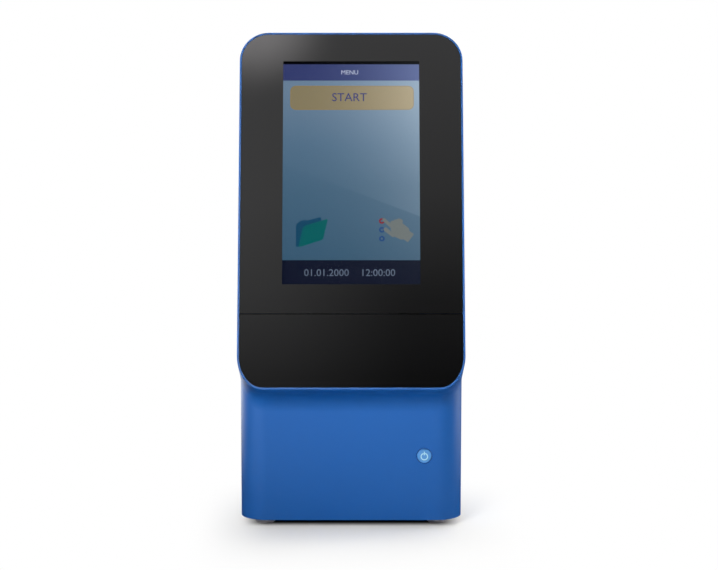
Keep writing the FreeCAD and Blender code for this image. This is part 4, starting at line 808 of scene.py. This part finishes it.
def makeNetworkFittings():
    walls = liner(*network["pocket"], 1.0) + liner(*network["latch"], -1.0)
    contacts = []
    for index in range(network["contacts"]):
        x = (index - (network["contacts"] - 1) / 2.0) * network["pitch"]
        contacts.append(block("contact", *network["contact"], x, network["contactY"], network["contactZ"]))
    place = rearPlace("ethernet_port")
    finishPiece(joined("network_liner", walls), place, "case", linerMaterial)
    finishPiece(joined("network_contacts", contacts), place, "case", goldMaterial)


inlet = {"radius": 1.12, "length": 9.0, "y": 0.5, "z": -5.2, "sides": 24}


def makeInletPin():
    deselectAll()
    place = (0.0, inlet["y"] * mm, inlet["z"] * mm)
    bpy.ops.mesh.primitive_cylinder_add(vertices=inlet["sides"], radius=inlet["radius"] * mm,
                                        depth=inlet["length"] * mm, location=place)
    pin = bpy.context.object
    pin.name = "inlet_pin"
    finishPiece(pin, rearPlace("dc_jack"), "case", goldMaterial)


cross = {"arm": (2.3, 0.55, 0.4, 0.12), "sink": 0.18, "angles": (45.0, 135.0)}  # arm: sides and radius


def looseParts(node):  # the points of each separate screw in a node
    mesh = bmesh.new()
    mesh.from_mesh(frame["nodes"][node].data)
    seen, parts = set(), []
    for first in mesh.verts:
        if first in seen:
            continue
        points, waiting = [], [first]
        seen.add(first)
        while waiting:
            vertex = waiting.pop()
            points.append(vertex.co.copy())
            for other in (edge.other_vert(vertex) for edge in vertex.link_edges):
                if other not in seen:
                    seen.add(other)
                    waiting.append(other)
        parts.append(points)
    mesh.free()
    return parts


def screwCrosses(name, node, turn, outward):  # dark cross plates in each screw head: painted shade standing in for the driver's cross recess
    arms = []
    for points in looseParts(node):
        middle = Vector([(min(column) + max(column)) / 2.0 for column in zip(*points)])
        top = max(point.dot(outward) for point in points)
        place = Matrix.Translation(middle + outward * (top - middle.dot(outward))) @ turn
        for angle in cross["angles"]:
            sizes = [size * mm for size in cross["arm"]]
            arm = plate("arm", *sizes, z=-cross["sink"] * mm, turn=math.radians(angle), segments=2)
            arm.data.transform(place)
            arms.append(arm)
    finishPiece(joined(name, arms), Matrix.Identity(4), "case", paintedRecessMaterial)


makeUsbFittings()
makeNetworkFittings()
makeInletPin()
screwCrosses("rear_screw_crosses", "rear_screws", rearTurn, Vector((0.0, 1.0, 0.0)))
screwCrosses("base_screw_crosses", "base_screws", Matrix.Rotation(math.pi, 4, "X"), Vector((0.0, 0.0, -1.0)))
print("sockets and screw heads fitted")


# Floor, light and camera

floorLook = {  # around and under: an axis, the middle on it, and where the soft side begins and ends
    "size": 12.0, "colour": (0.99, 0.97, 0.92, 1.0), "roughness": 0.8, "bounce": 0.92,
    # contact: colour of the painted contact shadow under the base
    "contact": (0.02, 0.02, 0.02), "depth": 0.71,
    "around": (("X", 0.009, 0.055, 0.116), ("Y", -0.068, 0.0, 0.135)),
    "under": (("X", 0.0, 0.057, 0.073), ("Y", 0.010, 0.0712, 0.0848)),
    # the floor that reflections see is painted: nearLevel near the object stands in for its shadow, farLevel
    # far off
    "mirrorNear": 0.165, "mirrorFar": 0.50, "nearLevel": 0.02, "farLevel": 1.4,
}


def softBox(tree, parts, spans):  # 1 inside, 0 outside, with soft sides
    sides = []
    for axis, middle, near, far in spans:
        offset = addMath(tree, "ABSOLUTE", addMath(tree, "SUBTRACT", parts[axis], middle))
        sides.append(remap(tree, offset, near, far, 1.0, 0.0, "SMOOTHSTEP"))
    return addMath(tree, "MULTIPLY", *sides)


def makeFloor():  # white from a little way off, with the object's own shadow round its foot, a painted contact shadow under its base, and for reflections a painted floor that is darker near the object
    deselectAll()
    bpy.ops.mesh.primitive_plane_add(size=floorLook["size"])
    floor = bpy.context.object
    floor.name = "floor"
    material, tree, shader = newMaterial("paleFloor")
    setInputs(shader, {"Base Color": floorLook["colour"], "Roughness": floorLook["roughness"]})
    shader.inputs["Specular IOR Level"].default_value = 0.0
    place = objectPlace(tree)
    parts = split(tree, place)
    path = tree.nodes.new("ShaderNodeLightPath").outputs
    seen = addMath(tree, "MAXIMUM", path["Is Camera Ray"], path["Is Glossy Ray"])
    seen = addMath(tree, "MAXIMUM", seen, path["Is Transmission Ray"])
    thrownBack = diffuse(tree, (floorLook["bounce"],) * 3)  # what the floor throws back on the object
    near = mixShaders(tree, seen, thrownBack, shader.outputs["BSDF"])
    away = addMath(tree, "MULTIPLY_ADD", softBox(tree, parts, floorLook["around"]), -floorLook["depth"], 1.0)
    whole = mixShaders(tree, addMath(tree, "MULTIPLY", away, seen), near, emission(tree, (1.0, 1.0, 1.0)))
    # where the painted contact shadow lies, shown to camera, glossy and transmission rays
    under = softBox(tree, parts, floorLook["under"])
    dark = diffuse(tree, floorLook["contact"])  # painted contact shadow: a dark patch under the base, where little light arrives
    withPaintedShadow = mixShaders(tree, addMath(tree, "MULTIPLY", under, seen), whole, dark)
    reach = tree.nodes.new("ShaderNodeVectorMath")  # seen in reflections the floor is painted: darker near the object, a painted shadow, and brighter far off
    reach.operation = "LENGTH"
    tree.links.new(place, reach.inputs[0])
    mirrored = remap(tree, reach.outputs["Value"], floorLook["mirrorNear"], floorLook["mirrorFar"],
                     floorLook["nearLevel"], floorLook["farLevel"])
    room = useGroup(tree, roomGroup)
    tree.links.new(place, room.inputs["Vector"])
    paintedFloorReflection = emission(tree, addMath(tree, "MULTIPLY", mirrored, room.outputs["Level"]))
    final = mixShaders(tree, path["Is Glossy Ray"], withPaintedShadow, paintedFloorReflection)
    tree.links.new(final, tree.nodes["Material Output"].inputs["Surface"])
    floor.data.materials.append(material)


makeFloor()

reflector = {  # the fades run up the panel, on its left and right
    "y": -1.0, "low": 0.60, "high": 1.30, "half": 0.40, "fadeLow": 0.674, "fadeHigh": 1.173,
    "rightFade": ((0.0, 0.015), (0.25, 0.16), (0.53, 0.58), (1.0, (0.93, 0.93, 0.94))),
    "leftFade": ((0.0, 0.28), (0.25, 0.74), (0.5, 0.97), (1.0, (1.0, 1.0, 1.01))),
    "acrossLeft": -0.135, "acrossRight": 0.085,
    "spotX": -0.115, "spotZ": 1.18, "spotRadius": 0.11, "spotLevel": (4.4, 4.25, 4.3),
}


def makeReflector():  # a graded panel that only the glossy surfaces see
    deselectAll()
    middle = (0.0, reflector["y"], (reflector["low"] + reflector["high"]) / 2.0)
    bpy.ops.mesh.primitive_plane_add(size=1.0, location=middle, rotation=(quarterTurn, 0.0, 0.0))
    panel = bpy.context.object
    panel.name = "reflector"
    panel.scale = (2.0 * reflector["half"], reflector["high"] - reflector["low"], 1.0)
    activate(panel)
    bpy.ops.object.transform_apply(location=True, rotation=True, scale=True)
    material, tree, shader = newMaterial("reflectorLight")
    tree.nodes.remove(shader)
    place = objectPlace(tree)
    parts = split(tree, place)
    height = remap(tree, parts["Z"], reflector["fadeLow"], reflector["fadeHigh"])
    left, right = ramp(tree, height, reflector["leftFade"]), ramp(tree, height, reflector["rightFade"])
    across = remap(tree, parts["X"], reflector["acrossLeft"], reflector["acrossRight"], kind="SMOOTHSTEP")
    spot = tree.nodes.new("ShaderNodeVectorMath")
    spot.operation = "DISTANCE"
    spot.inputs[1].default_value = (reflector["spotX"], reflector["y"], reflector["spotZ"])
    tree.links.new(place, spot.inputs[0])
    soft = remap(tree, spot.outputs["Value"], reflector["spotRadius"], 0.0, kind="SMOOTHERSTEP")
    lit = emission(tree, mixColours(tree, soft, mixColours(tree, across, left, right), reflector["spotLevel"]))
    clear = tree.nodes.new("ShaderNodeBsdfTransparent").outputs["BSDF"]
    path = tree.nodes.new("ShaderNodeLightPath").outputs
    mirroredRay = addMath(tree, "MAXIMUM", path["Is Glossy Ray"], path["Is Transmission Ray"])
    tree.links.new(mixShaders(tree, mirroredRay, clear, lit), tree.nodes["Material Output"].inputs["Surface"])
    panel.data.materials.append(material)


makeReflector()

worldLook = {"level": 0.22, "panelShare": 0.6, "panelTop": 0.05, "whiteFrom": 0.50}


def makeWorld():  # mirrored, the room has its panels along the horizon and is white above
    world = bpy.data.worlds.new("studio")
    bpy.context.scene.world = world
    world.use_nodes = True
    tree = world.node_tree
    tree.nodes.clear()
    background = tree.nodes.new("ShaderNodeBackground")
    background.inputs["Color"].default_value = (1.0, 1.0, 1.0, 1.0)
    path = tree.nodes.new("ShaderNodeLightPath").outputs
    direction = tree.nodes.new("ShaderNodeTexCoord").outputs["Generated"]
    up = split(tree, direction)["Z"]
    height = remap(tree, up, worldLook["panelTop"], worldLook["whiteFrom"], kind="SMOOTHSTEP")
    panels = useGroup(tree, roomGroup)
    tree.links.new(direction, panels.inputs["Vector"])
    room = tree.nodes.new("ShaderNodeMix")
    tree.links.new(height, room.inputs[0])
    tree.links.new(addMath(tree, "MULTIPLY", panels.outputs["Level"], worldLook["panelShare"]), room.inputs[2])
    room.inputs[3].default_value = 1.0
    mirrored = addMath(tree, "MULTIPLY", path["Is Glossy Ray"], room.outputs[0])
    seen = addMath(tree, "MAXIMUM", path["Is Camera Ray"], path["Is Transmission Ray"])
    seen = addMath(tree, "MAXIMUM", seen, mirrored)
    tree.links.new(addMath(tree, "MAXIMUM", seen, worldLook["level"]), background.inputs["Strength"])
    output = tree.nodes.new("ShaderNodeOutputWorld")
    tree.links.new(background.outputs["Background"], output.inputs["Surface"])


makeWorld()

lamps = {
    "key": {"place": (-0.24, -0.66, 0.44), "aim": (0.0, -0.08, 0.205), "size": 0.36, "power": 0.54,
            "spread": 42.0},
    "side": {"place": (1.1, 0.35, 0.5), "aim": (0.0, 0.0, 0.12), "size": 0.8, "power": 9.0},
    "back": {"place": (0.6, 1.3, 1.0), "aim": (0.0, 0.0, 0.15), "size": 0.9, "power": 7.0},
    "top": {"place": (0.0, 0.3, 2.0), "aim": (0.0, 0.0, 0.15), "size": 1.4, "power": 12.0},
}


def makeLamp(name, settings):
    deselectAll()
    bpy.ops.object.light_add(type="AREA", location=settings["place"])
    lamp = bpy.context.object
    lamp.name = name
    lamp.data.shape = "DISK"
    lamp.data.size = settings["size"]
    lamp.data.energy = settings["power"]
    lamp.data.spread = math.radians(settings.get("spread", 180.0))
    direction = Vector(settings["aim"]) - Vector(settings["place"])
    lamp.rotation_euler = direction.to_track_quat("-Z", "Y").to_euler()
    lamp.visible_glossy = False
    lamp.visible_camera = False


for lampName, lampSettings in lamps.items():
    makeLamp(lampName, lampSettings)

cameraSettings = {"place": (0.0, -1.7324, 0.4254), "pitch": 81.0, "lens": 128.4, "shiftX": 0.0109}
cameraTurn = (math.radians(cameraSettings["pitch"]), 0.0, 0.0)
deselectAll()
bpy.ops.object.camera_add(location=cameraSettings["place"], rotation=cameraTurn)
camera = bpy.context.object
camera.data.lens = cameraSettings["lens"]
camera.data.shift_x = cameraSettings["shiftX"]
bpy.context.scene.camera = camera
bpy.context.scene.view_settings.view_transform = "Standard"
print("light and camera placed")
